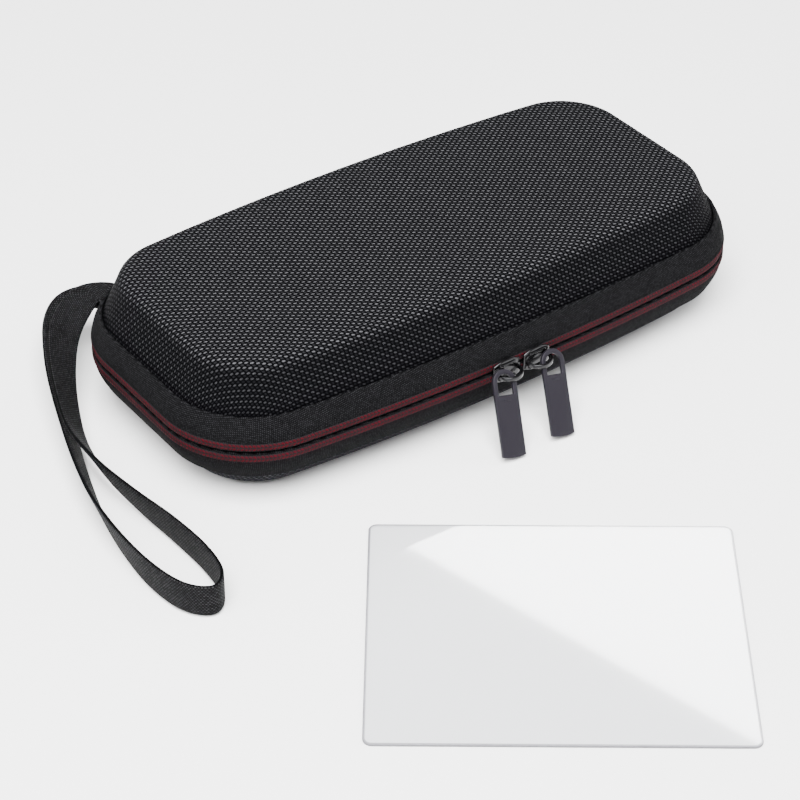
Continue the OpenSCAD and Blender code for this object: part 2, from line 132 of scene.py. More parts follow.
SLOT_DEPTH = 4.8 * MM
RIDGE = (2.4 * MM, 0.4 * MM, 0.3 * MM)
RIDGE_DROP = 1.5 * MM
TAB_LEAN = radians(33)
TAB_REST = radians(12)
STRAP_W = 10 * MM
STRAP_T = 1.2 * MM
ANCHOR_TURN = radians(11.5)
ANCHOR_REACH = 2.4 * MM
ANCHOR_HALF = 4.8 * MM
ANCHOR_SEAM = 0.9 * MM
UP = Vector((0, 0, 1))
CAMERA_PLACE = Vector((-0.3910, -0.5405, 0.4671))
CAMERA_WAY = Vector((0.467874, 0.656892, -0.592281))
PANEL_PLACE = (0.78, 0.48, 0.6)
PANEL_TURN = radians(-76.94)

# the zip line: corner arcs and long side arcs that meet tangent to each other
CORNER_X = HALF_LEN - CORNER_R
SIDE_R = (CORNER_X**2 + SIDE_BOW**2) / (2 * SIDE_BOW)
SIDE_Y = SIDE_R - HALF_WID
CORNER_Y = sqrt((SIDE_R - CORNER_R) ** 2 - CORNER_X**2) - SIDE_Y
SIDE_TURN = asin(CORNER_X / (SIDE_R - CORNER_R))
CORNER_TURN = pi / 2 - SIDE_TURN
SIDE_RUN = SIDE_R * SIDE_TURN
CORNER_RUN = CORNER_R * CORNER_TURN
QUARTER = SIDE_RUN + CORNER_RUN + CORNER_Y
WALL_FOOT = TAPE_LEAN + TAPE_T + GLUE
LINING_FACE = SHELL_WALL + GLUE
LINING_BACK = LINING_FACE + LINING_T
PLATE_Y = STRIPE_T + GLUE / 2 + ZIP_GAP
PLATE_FACE = PLATE_Y + PLATE_T
CROWN_Y = PLATE_FACE + 0.5 * MM
TAB_Y = CROWN_Y + 2.05 * MM
TAB_X = sqrt((CROWN_R - CROWN_T / 2) ** 2 - (TAB_Y - CROWN_Y) ** 2)
REAR_Y = TAPE_T + GLUE + 2 * COIL_R + 0.5 * MM

# middle of the webbing and its tilt: out of the case, round the loop and back
STRAP_ROUTE = [
    (-76.83, 50.6, 16, 0), (-77.13, 52.07, 16, 1), (-77.9, 55.4, 16, 4), (-81.5, 59.5, 15.8, 13),
    (-88.5, 60, 15, 25), (-96, 54, 13.6, 38), (-102.5, 44, 12, 48), (-109, 31, 10, 56), (-115.5, 14, 8, 62),
    (-121.5, -4, 6.6, 66), (-126, -21, 6, 71), (-128.5, -38, 5.8, 79),
    (-129, -55, 5.8, 87), (-126.5, -68, 5.8, 90), (-120.5, -74, 5.8, 90),
    (-115, -69.5, 5.8, 90), (-113, -58, 5.8, 90), (-113.5, -42, 5.8, 94),
    (-115.5, -26, 6.4, 103), (-117, -9, 7.6, 113), (-116, 7, 9.2, 123),
    (-111, 22, 11.2, 129), (-104.5, 36, 13.4, 138), (-97.5, 47, 15.4, 150),
    (-90.5, 53.5, 17, 162), (-83.5, 57.5, 18, 171), (-77.85, 55.3, 18.4, 178),
    (-77.13, 52.07, 18.4, 179), (-76.83, 50.6, 18.4, 180),
]


def length_size(name, default, description, low=0.01 * MM, high=50 * MM):
    return bpy.props.FloatProperty(
        name=name, description=description, default=default, min=low, max=high, unit="LENGTH", precision=5
    )


def colour(name, default, description):
    return bpy.props.FloatVectorProperty(
        name=name, description=description, default=default, min=0, max=1, size=3, subtype="COLOR"
    )


class CaseSizes(bpy.types.PropertyGroup):
    yarn_pitch: length_size("Cloth yarn pitch", 1.26 * MM, "Distance between two yarns of the cloth")
    thread_pitch: length_size("Tape thread pitch", 0.62 * MM, "Distance between two threads of the zip tape")
    loop_pitch: length_size("Stripe loop pitch", 1.15 * MM, "Distance between two loops of the stripe")
    tooth_pitch: length_size("Coil pitch", 1.2 * MM, "Distance between two turns of the zip coil")
    wire_r: length_size("Coil wire radius", 0.2 * MM, "Radius of the coil's wire")
    rib_pitch: length_size("Webbing rib pitch", 0.9 * MM, "Distance between two ribs of the webbing")
    stitch_len: length_size("Stitch length", 2.2 * MM, "Length of one stitch")
    thread_r: length_size("Stitch thread radius", 0.16 * MM, "Radius of the sewing thread")
    net_pitch: length_size("Net mesh size", 2.6 * MM, "Distance between two cords of the net")
    net_cord: length_size("Net cord thickness", 0.4 * MM, "Thickness of one cord of the net")
    metal_round: length_size("Slider edge radius", 0.3 * MM, "Rounding of the slider's edges")
    tab_round: length_size("Pull edge radius", 0.22 * MM, "Rounding of the pull tab's edges")
    # the grey rim is painted shade along the clear sheet's edge
    sheet_rim: length_size("Sheet rim", 0.45 * MM, "Width of the grey rim along the clear sheet's edge")
    sheet_round: length_size("Sheet edge radius", 0.18 * MM, "Polish along the clear sheet's edges")


class CaseColours(bpy.types.PropertyGroup):
    cloth: colour("Cloth", (0.0005, 0.0005, 0.0007), "Shade between the yarns of the cloth")
    cloth_yarn: colour("Cloth yarn", (0.0012, 0.0012, 0.0017), "Body of the cloth's yarns")
    # cloth glint is a painted glint: a light colour laid on the yarn crests for light reflected by the yarns
    cloth_glint: colour("Cloth glint", (0.120, 0.120, 0.128), "Light filaments on the cloth's yarns")
    base_yarn: colour("Base yarn", (0.0018, 0.0018, 0.0042), "Body of the base cloth's yarns")
    tape: colour("Zip tape", (0.0008, 0.0008, 0.0009), "Dark threads of the zip tape")
    tape_light: colour("Zip tape light thread", (0.018, 0.018, 0.0195), "Light threads of the zip tape")
    stripe: colour("Stripe", (0.060, 0.0012, 0.0050), "Red loops of the stitched stripe")
    webbing: colour("Webbing", (0.0008, 0.0008, 0.0009), "Shade of the webbing")
    webbing_light: colour("Webbing light thread", (0.030, 0.030, 0.032), "Light threads of the webbing")
    lining: colour("Lining", (0.0035, 0.0035, 0.0040), "Napped lining")
    coil: colour("Coil", (0.010, 0.010, 0.011), "Zip coil")
    metal: colour("Slider metal", (0.008, 0.008, 0.009), "Black plated slider")
    tab: colour("Pull tab", (0.0082, 0.0070, 0.0105), "Satin painted pull tab")
    thread: colour("Sewing thread", (0.014, 0.014, 0.015), "Sewing thread")
    sheet: colour("Clear sheet", (0.60, 0.61, 0.63), "Body tint of the clear sheet")
    # the clear sheet's edge colour is painted shade: a dark grey for the outline along the edge
    sheet_edge: colour("Clear sheet edge", (0.10, 0.10, 0.11), "Cut edge of the clear sheet")
    floor: colour("Floor", (0.9, 0.9, 0.9), "Studio floor")


def sizes():
    return bpy.context.scene.case_sizes


def colours():
    return bpy.context.scene.case_colours


# ---- the zip line ----


def near_line(x, y):
    """Place along the zip line from the middle of the front, inset from it, and the way out."""
    ax, ay = abs(x), abs(y)
    turn = atan2(ay - CORNER_Y, ax - CORNER_X)
    if ay <= CORNER_Y and ax > CORNER_X:
        along, inset, out = SIDE_RUN + CORNER_RUN + CORNER_Y - ay, HALF_LEN - ax, (1, 0)
    elif ax > CORNER_X and turn < CORNER_TURN:
        along = SIDE_RUN + CORNER_R * (CORNER_TURN - turn)
        inset, out = CORNER_R - hypot(ax - CORNER_X, ay - CORNER_Y), (cos(turn), sin(turn))
    else:
        turn = atan2(ax, ay + SIDE_Y)
        along, inset, out = SIDE_R * turn, SIDE_R - hypot(ax, ay + SIDE_Y), (sin(turn), cos(turn))
    if y > 0:
        along = 2 * QUARTER - along
    return copysign(along, x), inset, Vector((copysign(out[0], x), copysign(out[1], y)))


def on_line(along, inset=0.0):
    """The point at a place along the zip line, and the way out from it."""
    place = abs(along)
    quarter = 2 * QUARTER - place if place > QUARTER else place
    if quarter <= SIDE_RUN:
        turn = quarter / SIDE_R
        out = (sin(turn), cos(turn))
        x, y = (SIDE_R - inset) * out[0], (SIDE_R - inset) * out[1] - SIDE_Y
    elif quarter <= SIDE_RUN + CORNER_RUN:
        turn = CORNER_TURN - (quarter - SIDE_RUN) / CORNER_R
        out = (cos(turn), sin(turn))
        x, y = CORNER_X + (CORNER_R - inset) * out[0], CORNER_Y + (CORNER_R - inset) * out[1]
    else:
        x, y, out = HALF_LEN - inset, QUARTER - quarter, (1, 0)
    sx, sy = copysign(1, along), (1 if place > QUARTER else -1)
    return Vector((sx * x, sy * y)), Vector((sx * out[0], sy * out[1]))


def moved(path, depth):
    """A path of insets and heights moved inward, with its first point kept at its own height."""
    points = [Vector(p) for p in path]
    out = []
    for i, p in enumerate(points):
        before = (points[max(i, 1)] - points[max(i, 1) - 1]).normalized()
        after = (points[min(i + 1, len(points) - 1)] - points[min(i, len(points) - 2)]).normalized()
        n1, n2 = Vector((before.y, -before.x)), Vector((after.y, -after.x))
        out.append(p + Vector((depth / n2.x, 0)) if i == 0 else p + depth * (n1 + n2) / (1 + n1.dot(n2)))
    return out


def rounded(path, at, radius, steps):
    d1, d2 = (path[at] - path[at - 1]).normalized(), (path[at + 1] - path[at]).normalized()
    a1, a2 = atan2(d1.y, d1.x), atan2(d2.y, d2.x)
    start = path[at] - d1 * radius * tan((a1 - a2) / 2)
    centre = start + radius * Vector((d1.y, -d1.x))
    arc = []
    for k in range(steps + 1):
        a = a1 + (a2 - a1) * k / steps
        arc.append(centre - radius * Vector((sin(a), -cos(a))))
    return path[:at] + arc + path[at + 1:]


def tape_point(share, out=0.0):
    return Vector((
        TAPE_LEAN * share - TAPE_BULGE * sin(pi * share) - out,
        SLIT / 2 + (TAPE_H - SLIT / 2) * share,
    ))


RIM_SHARE = (RIM_Z - SLIT / 2) / (TAPE_H - SLIT / 2)
LID = ((WALL_LEAN, LID_RISE - LID_CROWN), LID_RISE, LID_EDGE_R)
BASE = ((WALL_LEAN, BASE_DEPTH - BASE_CROWN), BASE_DEPTH, BASE_EDGE_R)
HALVES = (("base", BASE, -1, "root"), ("lid", LID, 1, "lid"))


def shell_path(half):
    edge, top, _ = half
    return [
        tape_point(RIM_SHARE) + Vector((TAPE_T + GLUE, 0)),
        Vector((WALL_FOOT, TAPE_H)),
        Vector(edge),
        Vector((FOOT_INSET, top)),
        Vector((FOOT_INSET + FLAT_RUN, top)),
    ]


def shell_face(half, depth, steps=7):
    """The surface at a depth below the outside of a shell, from its rim to its flat."""
    path = moved(shell_path(half), depth)
    path = rounded(path, 3, FOOT_R, 5)
    path = rounded(path, 2, max(half[2] - depth, LEAST_R), steps)
    return rounded(path, 1, RIM_R, 3) if depth < MM and half is BASE else path


def with_run(path):
    """Adds each point's distance along the path, outward from where it crosses the run's inset."""
    lengths = [0.0]
    for a, b in zip(path, path[1:]):
        lengths.append(lengths[-1] + (b - a).length)
    zero = 0.0
    for i in range(len(path) - 1):
        if path[i].x <= RUN_INSET <= path[i + 1].x:
            share = (RUN_INSET - path[i].x) / (path[i + 1].x - path[i].x)
            zero = lengths[i] + share * (lengths[i + 1] - lengths[i])
    return [(p.x, p.y, zero - l) for p, l in zip(path, lengths)]


# ---- modelling helpers ----


def verts_in(got):
    return [g for g in got if isinstance(g, bmesh.types.BMVert)]


def edges_in(got, verts=None):
    """The edges of a result, or only those that lie between some of its vertices."""
    edges = [g for g in got if isinstance(g, bmesh.types.BMEdge)]
    return edges if verts is None else [e for e in edges if all(v in verts for v in e.verts)]


def sweep(section, side, closed, ring=True):
    """A bmesh swept round the zip line from a section of inset, height and run; side is 1 up and -1 down."""
    bm = bmesh.new()
    run = bm.verts.layers.float.new("run")
    arcs = [
        (0, -SIDE_Y, SIDE_TURN, 26), (-CORNER_X, CORNER_Y, CORNER_TURN, 24), (-2 * CORNER_Y, 10),
        (-CORNER_X, -CORNER_Y, CORNER_TURN, 24), (0, SIDE_Y, 2 * SIDE_TURN, 52),
        (CORNER_X, -CORNER_Y, CORNER_TURN, 24), (2 * CORNER_Y, 10),
        (CORNER_X, CORNER_Y, CORNER_TURN, 24), (0, -SIDE_Y, SIDE_TURN, 26),
    ]
    turn = pi / 2 if ring else pi / 2 + SIDE_TURN
    cx, cy, r = (0, -SIDE_Y, SIDE_R) if ring else (-CORNER_X, CORNER_Y, CORNER_R)
    verts = []
    for inset, height, distance in section:
        reach = r - inset
        v = bm.verts.new((cx + reach * cos(turn), cy + reach * sin(turn), BASE_DEPTH + side * height))
        v[run] = distance
        verts.append(v)
    pairs = list(zip(verts, verts[1:] + verts[:1])) if closed else list(zip(verts, verts[1:]))
    last = verts + [bm.edges.new(pair) for pair in pairs]
    if not ring:
        bm.faces.new(verts)
    for arc in arcs if ring else arcs[1:-1]:
        if len(arc) == 2:
            for _ in range(arc[1]):
                got = bmesh.ops.extrude_edge_only(bm, edges=edges_in(last))["geom"]
                moving = verts_in(got)
                bmesh.ops.translate(bm, verts=moving, vec=(0, arc[0] / arc[1], 0))
                last = moving + edges_in(got, moving)
        else:
            x, y, angle, steps = arc
            last = bmesh.ops.spin(
                bm, geom=last, cent=(x, y, 0), axis=(0, 0, 1), angle=angle, steps=steps, use_duplicate=False
            )["geom_last"]
    if not ring:
        bmesh.ops.contextual_create(bm, geom=edges_in(last))
    ends = [v for v in bm.verts if abs(v.co.x) < 0.1 * MM and v.co.y > 0]
    bmesh.ops.remove_doubles(bm, verts=ends if ring else bm.verts, dist=(0.03 if ring else 0.002) * MM)
    open_edges = [e for e in bm.edges if e.is_boundary]
    if open_edges:
        bmesh.ops.edgeloop_fill(bm, edges=open_edges)
    bmesh.ops.recalc_face_normals(bm, faces=bm.faces)
    return bm


def lay_along(bm):
    """UV in metres: the way along the zip line and the run across the section."""
    run, uv = bm.verts.layers.float["run"], bm.loops.layers.uv.new("UVMap")
    for face in bm.faces:
        middle = face.calc_center_median()
        for loop in face.loops:
            p = loop.vert.co
            along = near_line(p.x, p.y)[0]
            if along * middle.x < 0 and abs(along) > QUARTER:
                along = -along
            loop[uv].uv = (along, loop.vert[run])


def lay_unfolded(bm):
    """UV in metres: the cloth's own threads, flat on the plateau and turned down over the edge."""
    run, uv = bm.verts.layers.float["run"], bm.loops.layers.uv.new("UVMap")
    spots = {}
    for v in bm.verts:
        _, depth, out = near_line(v.co.x, v.co.y)
        spots[v] = Vector((v.co.x, v.co.y)) + out * (depth - RUN_INSET + v[run])
    for face in bm.faces:
        for loop in face.loops:
            loop[uv].uv = spots[loop.vert]


def lay_planar(bm, across, up):
    """UV in metres along two directions."""
    uv = bm.loops.layers.uv.get("UVMap") or bm.loops.layers.uv.new("UVMap")
    for face in bm.faces:
        for loop in face.loops:
            loop[uv].uv = (loop.vert.co.dot(across), loop.vert.co.dot(up))


def soften(bm, width, segments=3, over=35):
    """Rounds every edge that is sharper than an angle."""
    edges = [e for e in bm.edges if len(e.link_faces) == 2 and e.calc_face_angle(0) > radians(over)]
    bmesh.ops.bevel(
        bm, geom=edges, offset=width, offset_type="OFFSET", segments=segments,
        profile=0.5, affect="EDGES", clamp_overlap=True, material=-1,
    )


def block(size, place, width, segments):
    """A bmesh of one box with eased edges."""
    bm = bmesh.new()
    bmesh.ops.create_cube(bm, size=1)
    bmesh.ops.scale(bm, vec=size, verts=bm.verts)
    bmesh.ops.translate(bm, vec=place, verts=bm.verts)
    soften(bm, width, segments, 50)
    return bm


def node_copy(node):
    """A merged copy of a CAD node's mesh with its flat faces whole."""
    bm = bmesh.new()
    bm.from_mesh(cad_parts[node].data)
    bmesh.ops.remove_doubles(bm, verts=bm.verts, dist=2e-6)
    bmesh.ops.dissolve_limit(bm, angle_limit=radians(0.8), verts=bm.verts, edges=bm.edges)
    return bm


def piece(bm, name, material, body, nodes=(), sharp=40):
    """Makes a bmesh a finished piece that rides on a body."""
    for edge in bm.edges:
        if len(edge.link_faces) == 2:
            edge.smooth = edge.calc_face_angle(0) < radians(sharp)
    mesh = bpy.data.meshes.new(name)
    bm.to_mesh(mesh)
    bm.free()
    mesh.polygons.foreach_set("use_smooth", [True] * len(mesh.polygons))
    for used in material if isinstance(material, (list, tuple)) else [material]:
        mesh.materials.append(used)
    obj = bpy.data.objects.new(name, mesh)
    bpy.context.scene.collection.objects.link(obj)
    if nodes:
        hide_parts(*nodes)
    if body:
        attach(obj, body)
    return obj


def join(bm, other, matrix=None):
    """Adds another bmesh's mesh, placed by a matrix, and frees it."""
    held = bpy.data.meshes.new("held")
    other.to_mesh(held)
    other.free()
    if matrix:
        held.transform(matrix)
    bm.from_mesh(held)
    bpy.data.meshes.remove(held)


# ---- materials ----


class Value:
    """A shader socket that Python's operators can work with."""

    def __init__(self, graph, socket):
        self.graph, self.socket = graph, socket

    def math(self, operation, *others):
        values = {i + 1: o for i, o in enumerate(others)}
        return self.graph.node("ShaderNodeMath", {"operation": operation}, {0: self, **values})

    def __add__(self, other):
        return self.math("ADD", other)

    __radd__ = __add__

    def __mul__(self, other):
        return self.math("MULTIPLY", other)

    __rmul__ = __mul__

    def __sub__(self, other):
        return self.math("SUBTRACT", other)

    def __rsub__(self, other):
        return self.graph.node("ShaderNodeMath", {"operation": "SUBTRACT"}, {0: other, 1: self})

    def __truediv__(self, other):
        return self.math("DIVIDE", other)

    def __pow__(self, other):
        return self.math("POWER", other)

    def __abs__(self):
        return self.math("ABSOLUTE")

    def sin(self):
        return self.math("SINE")

    def floor(self):
        return self.math("FLOOR")

    def fract(self):
        return self.math("FRACT")

    def over(self, other):
        return self.math("GREATER_THAN", other)

    def limited(self):
        return self.graph.node("ShaderNodeClamp", {}, {"Value": self})


class Graph:
    """A material's node tree and the few ways that it is written."""

    def __init__(self, name):
        self.material = bpy.data.materials.new(name)
        self.material.use_nodes = True
        self.tree = self.material.node_tree
        self.tree.nodes.clear()

    def node(self, kind, settings=None, inputs=None, out=0):
        made = self.tree.nodes.new(kind)
        for key, value in (settings or {}).items():
            setattr(made, key, value)
        for key, value in (inputs or {}).items():
            if isinstance(value, Value):
                self.tree.links.new(value.socket, made.inputs[key])
            else:
                made.inputs[key].default_value = value
        return Value(self, made.outputs[out])

    def place(self):
        """Object coordinates."""
        return self.node("ShaderNodeTexCoord", out=3)

    def parts(self, vector):
        """The three numbers of a vector."""
        split = self.node("ShaderNodeSeparateXYZ", {}, {0: vector}).socket.node
        return [Value(self, socket) for socket in split.outputs]

    def surface(self):
        """The piece's own UV, in metres along and across."""
        return self.parts(self.node("ShaderNodeUVMap", {"uv_map": "UVMap"}))[:2]

    def noise(self, vector, scale, detail=2.0, roughness=0.5):
        inputs = {"Vector": vector, "Scale": scale, "Detail": detail, "Roughness": roughness}
        return self.node("ShaderNodeTexNoise", {}, inputs)

    def chance(self, x, y):
        """A number from 0 to 1 that is the same all over a cell."""
        cell = self.node("ShaderNodeCombineXYZ", {}, {0: x, 1: y})
        return self.node("ShaderNodeTexWhiteNoise", {}, {"Vector": cell})

    def mix(self, share, one, two):
        as_shade = [c if isinstance(c, Value) else (*c[:3], 1.0) for c in (one, two)]
        return self.node(
            "ShaderNodeMix", {"data_type": "RGBA"}, {0: share, 6: as_shade[0], 7: as_shade[1]}, out=2
        )

    def finish(self, base, roughness, height=None, depth=0.1 * MM, strength=1.0, **fixed):
        """Ends the material in one principled surface."""
        values = {"Base Color": base if isinstance(base, Value) else (*base[:3], 1.0), "Roughness": roughness}
        if height is not None:
            relief = {"Height": height, "Distance": depth, "Strength": strength}
            values["Normal"] = self.node("ShaderNodeBump", {}, relief)
        for key, value in fixed.items():
            values[key.replace("_", " ")] = value
        surface = self.node("ShaderNodeBsdfPrincipled", {}, values)
        output = self.tree.nodes.new("ShaderNodeOutputMaterial")
        self.tree.links.new(surface.socket, output.inputs[0])
        return self.material


def kept(make):
    """A material is made once and then shared."""
    def get(*words):
        name = "look_" + make.__name__ + "".join("_" + w for w in words)
        return bpy.data.materials.get(name) or make(name, *words)
    return get


@kept
def ballistic_cloth(name, half):
    """Coarse ballistic weave: checkerboard of crossing yarns, each a bundle of fine filaments, with painted
    shade between the yarns and painted glints on the warp crests; on the lid the painted glints fade towards
    the wall's foot and are dimmer on the walls.
    """
    g, c, pitch = Graph(name), colours(), sizes().yarn_pitch
    u, v = g.surface()
    drift = g.noise(g.place(), 90.0, 1.0)
    x = u / (pitch * 1.07) + (drift - 0.5) * 0.4
    y = v / (pitch * 0.78) + (drift - 0.5) * 0.4
    sx, sy = (x * pi).sin(), (y * pi).sin()
    ax, ay = abs(sx), abs(sy)
    warp = (sx * sy * 5.0 + 0.5).limited()
    crest = (ax ** 0.4 * ay ** 0.9) * warp + (ay ** 0.4 * ax ** 0.9) * (1 - warp)
    along = ((y * 5.0 + x * 0.9) * (2 * pi)).sin()
    across = ((x * 5.0 + y * 0.9) * (2 * pi)).sin()
    filament = along * warp + across * (1 - warp)
    cell = g.chance(x.floor(), y.floor())
    fleck = g.noise(g.place(), 2600.0, 1.0)
    # painted glints: light dashes on the crests of the warp yarns, standing in for light reflected by the
    # yarns
    painted_glint = (crest * 1.9 - 0.55).limited() * (cell * 0.25 + 0.75) * (filament * 0.3 + 0.7)
    slant = (1.2 - abs(x.fract() + y.fract() - 1.0) * 2.0).limited()
    painted_glint = painted_glint * slant * (warp * 0.85 + 0.15) * (fleck * 1.2 + 0.3).limited()
    yarn = c.cloth_yarn if half == "lid" else c.base_yarn
    z = g.parts(g.place())[2]
    # painted shade on the lid: the glints fade out towards the foot of the wall under the zip band and are
    # dimmer on the walls than on the top
    foot, brow = BASE_DEPTH + 7.5 * MM, BASE_DEPTH + 20.8 * MM
    if half == "lid":
        painted_glint = painted_glint * ((z - foot) / (5 * MM)).limited() * (((z - brow) / (2.6 * MM)).limited() * 0.7 + 0.3)
    # painted shade: the yarn body darkens towards the hollows between the yarns
    body = g.mix((crest * 1.3).limited(), c.cloth, yarn)
    return g.finish(
        g.mix(painted_glint.limited(), body, c.cloth_glint),
        0.68 - painted_glint * 0.2,
        crest + filament * 0.07, 0.34 * MM, 1.0, Specular_IOR_Level=0.012,
    )


@kept
def zip_tape(name):
    """Tightly woven zip tape: short slanted threads, dark and grey mixed."""
    g, c, pitch = Graph(name), colours(), sizes().thread_pitch
    u, v = g.surface()
    a = (u + v * 0.55) / pitch
    row = (v - u * 0.12) / (pitch * 0.8)
    slip = (row.floor() * 0.5).fract()
    a = a + slip
    crest = abs((a * pi).sin()) ** 0.7 * abs((row * pi).sin()) ** 0.5
    cell = g.chance(a.floor(), row.floor())
    light = (cell * 0.4 + 0.6) * crest
    return g.finish(
        g.mix(light ** 1.8, c.tape, c.tape_light),
        0.82 - light * 0.15,
        crest + cell * 0.2, 0.16 * MM, 1.0, Specular_IOR_Level=0.012,
    )


@kept
def knit_stripe(name):
    """Knitted stripe: red loops that lean both ways from a dark middle line."""
    g, c, pitch = Graph(name), colours(), sizes().loop_pitch
    u, v = g.surface()
    lean = abs(v) / STRIPE_W
    a = u / pitch + lean * 1.15
    loop = abs((a * pi).sin())
    edge = (1.0 - abs(lean * 4.0 - 1.0)).limited() ** 0.6
    second = abs((a * (2 * pi) + 0.7).sin())
    cell = g.chance(a.floor(), v.over(0.0))
    fine = ((u * 1.6 + v) * (2 * pi / (0.22 * MM))).sin()
    crest = (loop * 0.7 + second * 0.3) * edge
    share = (crest * 2.2 - 0.35).limited() * (cell * 0.5 + 0.5) * (fine * 0.2 + 0.8)
    return g.finish(
        g.mix(share.limited(), c.coil, c.stripe), 0.75 - share * 0.15, crest + fine * 0.08, 0.25 * MM, 1.0,
        Specular_IOR_Level=0.012,
    )


@kept
def webbing(name):
    """Fine ribbed webbing: ribs across the width, with a slight slant in each thread."""
    g, c, pitch = Graph(name), colours(), sizes().rib_pitch
    u, v = g.surface()
    a = u / pitch
    b = v / (pitch * 0.62)
    shift = (b.floor() * 0.5).fract()
    a = a + shift
    crest = abs((a * pi).sin()) ** 0.6 * abs((b * pi).sin()) ** 0.6
    cell = g.chance(a.floor(), b.floor())
    fine = ((u * 0.7 + v) * (2 * pi / (0.26 * MM))).sin()
    light = (crest * 2.2 - 1.0).limited() * (cell * 0.7 + 0.3)
    return g.finish(
        g.mix(light, c.webbing, c.webbing_light), 0.62 - light * 0.12, crest + fine * 0.1, 0.2 * MM, 1.0,
        Specular_IOR_Level=0.02,
    )


@kept
def napped_lining(name):
    """Short brushed nap over foam."""
    g, c = Graph(name), colours()
    spot = g.place()
    nap = g.noise(spot, 3200.0, 3.0, 0.7)
    brushed = g.noise(spot, 60.0, 2.0)
    shade = (nap * 0.6 + brushed * 0.5).limited()
    light = tuple(2.4 * x for x in c.lining)
    return g.finish(
        g.mix(shade, c.lining, light), 0.95, nap + brushed * 0.6, 0.25 * MM, 0.9, Sheen_Weight=0.06
    )


@kept
def coil_plastic(name):
    """Drawn nylon wire of the coil, and sewn net cords."""
    g, c = Graph(name), colours()
    grain = g.noise(g.place(), 1500.0, 2.0)
    light = tuple(2.0 * x for x in c.coil)
    return g.finish(g.mix(grain, c.coil, light), 0.34 + grain * 0.2, grain, 0.02 * MM, 0.6)


@kept
def sewing_thread(name):
    """Twisted sewing thread."""
    g, c = Graph(name), colours()
    x, y, z = g.parts(g.place())
    twist = ((x + y + z) * (2 * pi / (0.3 * MM))).sin()
    light = tuple(3.0 * x for x in c.thread)
    return g.finish(g.mix((twist * 0.5 + 0.5).limited(), c.thread, light), 0.6, twist, 0.04 * MM, 0.8)


@kept
def black_metal(name):
    """Glossy black plating with a painted highlight: lighter along its crests."""
    g, c = Graph(name), colours()
    spot = g.place()
    ripple = g.noise(spot, 420.0, 2.0)
    scratch = g.noise(spot, 5200.0, 1.0)
    # painted highlight: the plating's colour is lighter where the surface is pointed, along the crests
    painted_crest_highlight = (g.node("ShaderNodeNewGeometry", out=7) * 6.0 - 3.15).limited() * ripple
    light = tuple(5.0 * x for x in c.metal)
    return g.finish(
        g.mix(painted_crest_highlight, c.metal, light), 0.13 + ripple * 0.14 + painted_crest_highlight * 0.2,
        ripple + scratch * 0.1, 0.03 * MM, 0.5,
        Metallic=0.85, Coat_Weight=0.25, Coat_Roughness=0.08,
    )


@kept
def satin_paint(name):
    """Satin paint on the pull tabs, with a fine grain."""
    g, c = Graph(name), colours()
    spot = g.place()
    grain = g.noise(spot, 2400.0, 2.0)
    cloud = g.noise(spot, 120.0, 1.0)
    light = tuple(1.28 * x for x in c.tab)
    return g.finish(
        g.mix((cloud * 0.6 + grain * 0.4).limited(), c.tab, light), 0.42 + grain * 0.1,
        grain, 0.012 * MM, 0.7,
        Metallic=0.25, Specular_IOR_Level=0.22,
    )


@kept
def clear_film(name, part):
    """Clear polished sheet; its cut edge and a thin rim along its top are painted grey, painted shade for the
    dark outline along the edge.
    """
    g, c = Graph(name), colours()
    spot = g.place()
    cloud = g.noise(spot, 14.0, 1.0)
    polish = g.noise(spot, 900.0, 2.0)
    # painted shade: the edge and the rim along it take a dark grey
    if part == "edge":
        light = tuple(1.6 * x for x in c.sheet_edge)
        return g.finish(g.mix(polish, c.sheet_edge, light), 0.3 + polish * 0.2, Alpha=0.92)
    return g.finish(
        g.mix(cloud, c.sheet, tuple(min(1, 1.06 * x) for x in c.sheet)), 0.03 + polish * 0.04,
        polish, 0.002 * MM, 0.3, Alpha=0.5, IOR=1.49, Coat_Weight=1.0, Coat_Roughness=0.03,
    )


@kept
def studio_floor(name):
    """Matt paper sweep."""
    g, c = Graph(name), colours()
    grain = g.noise(g.place(), 700.0, 2.0)
    light = tuple(min(1, 1.02 * x) for x in c.floor)
    return g.finish(g.mix(grain, c.floor, light), 0.9, Specular_IOR_Level=0.1)


# ---- stitches ----


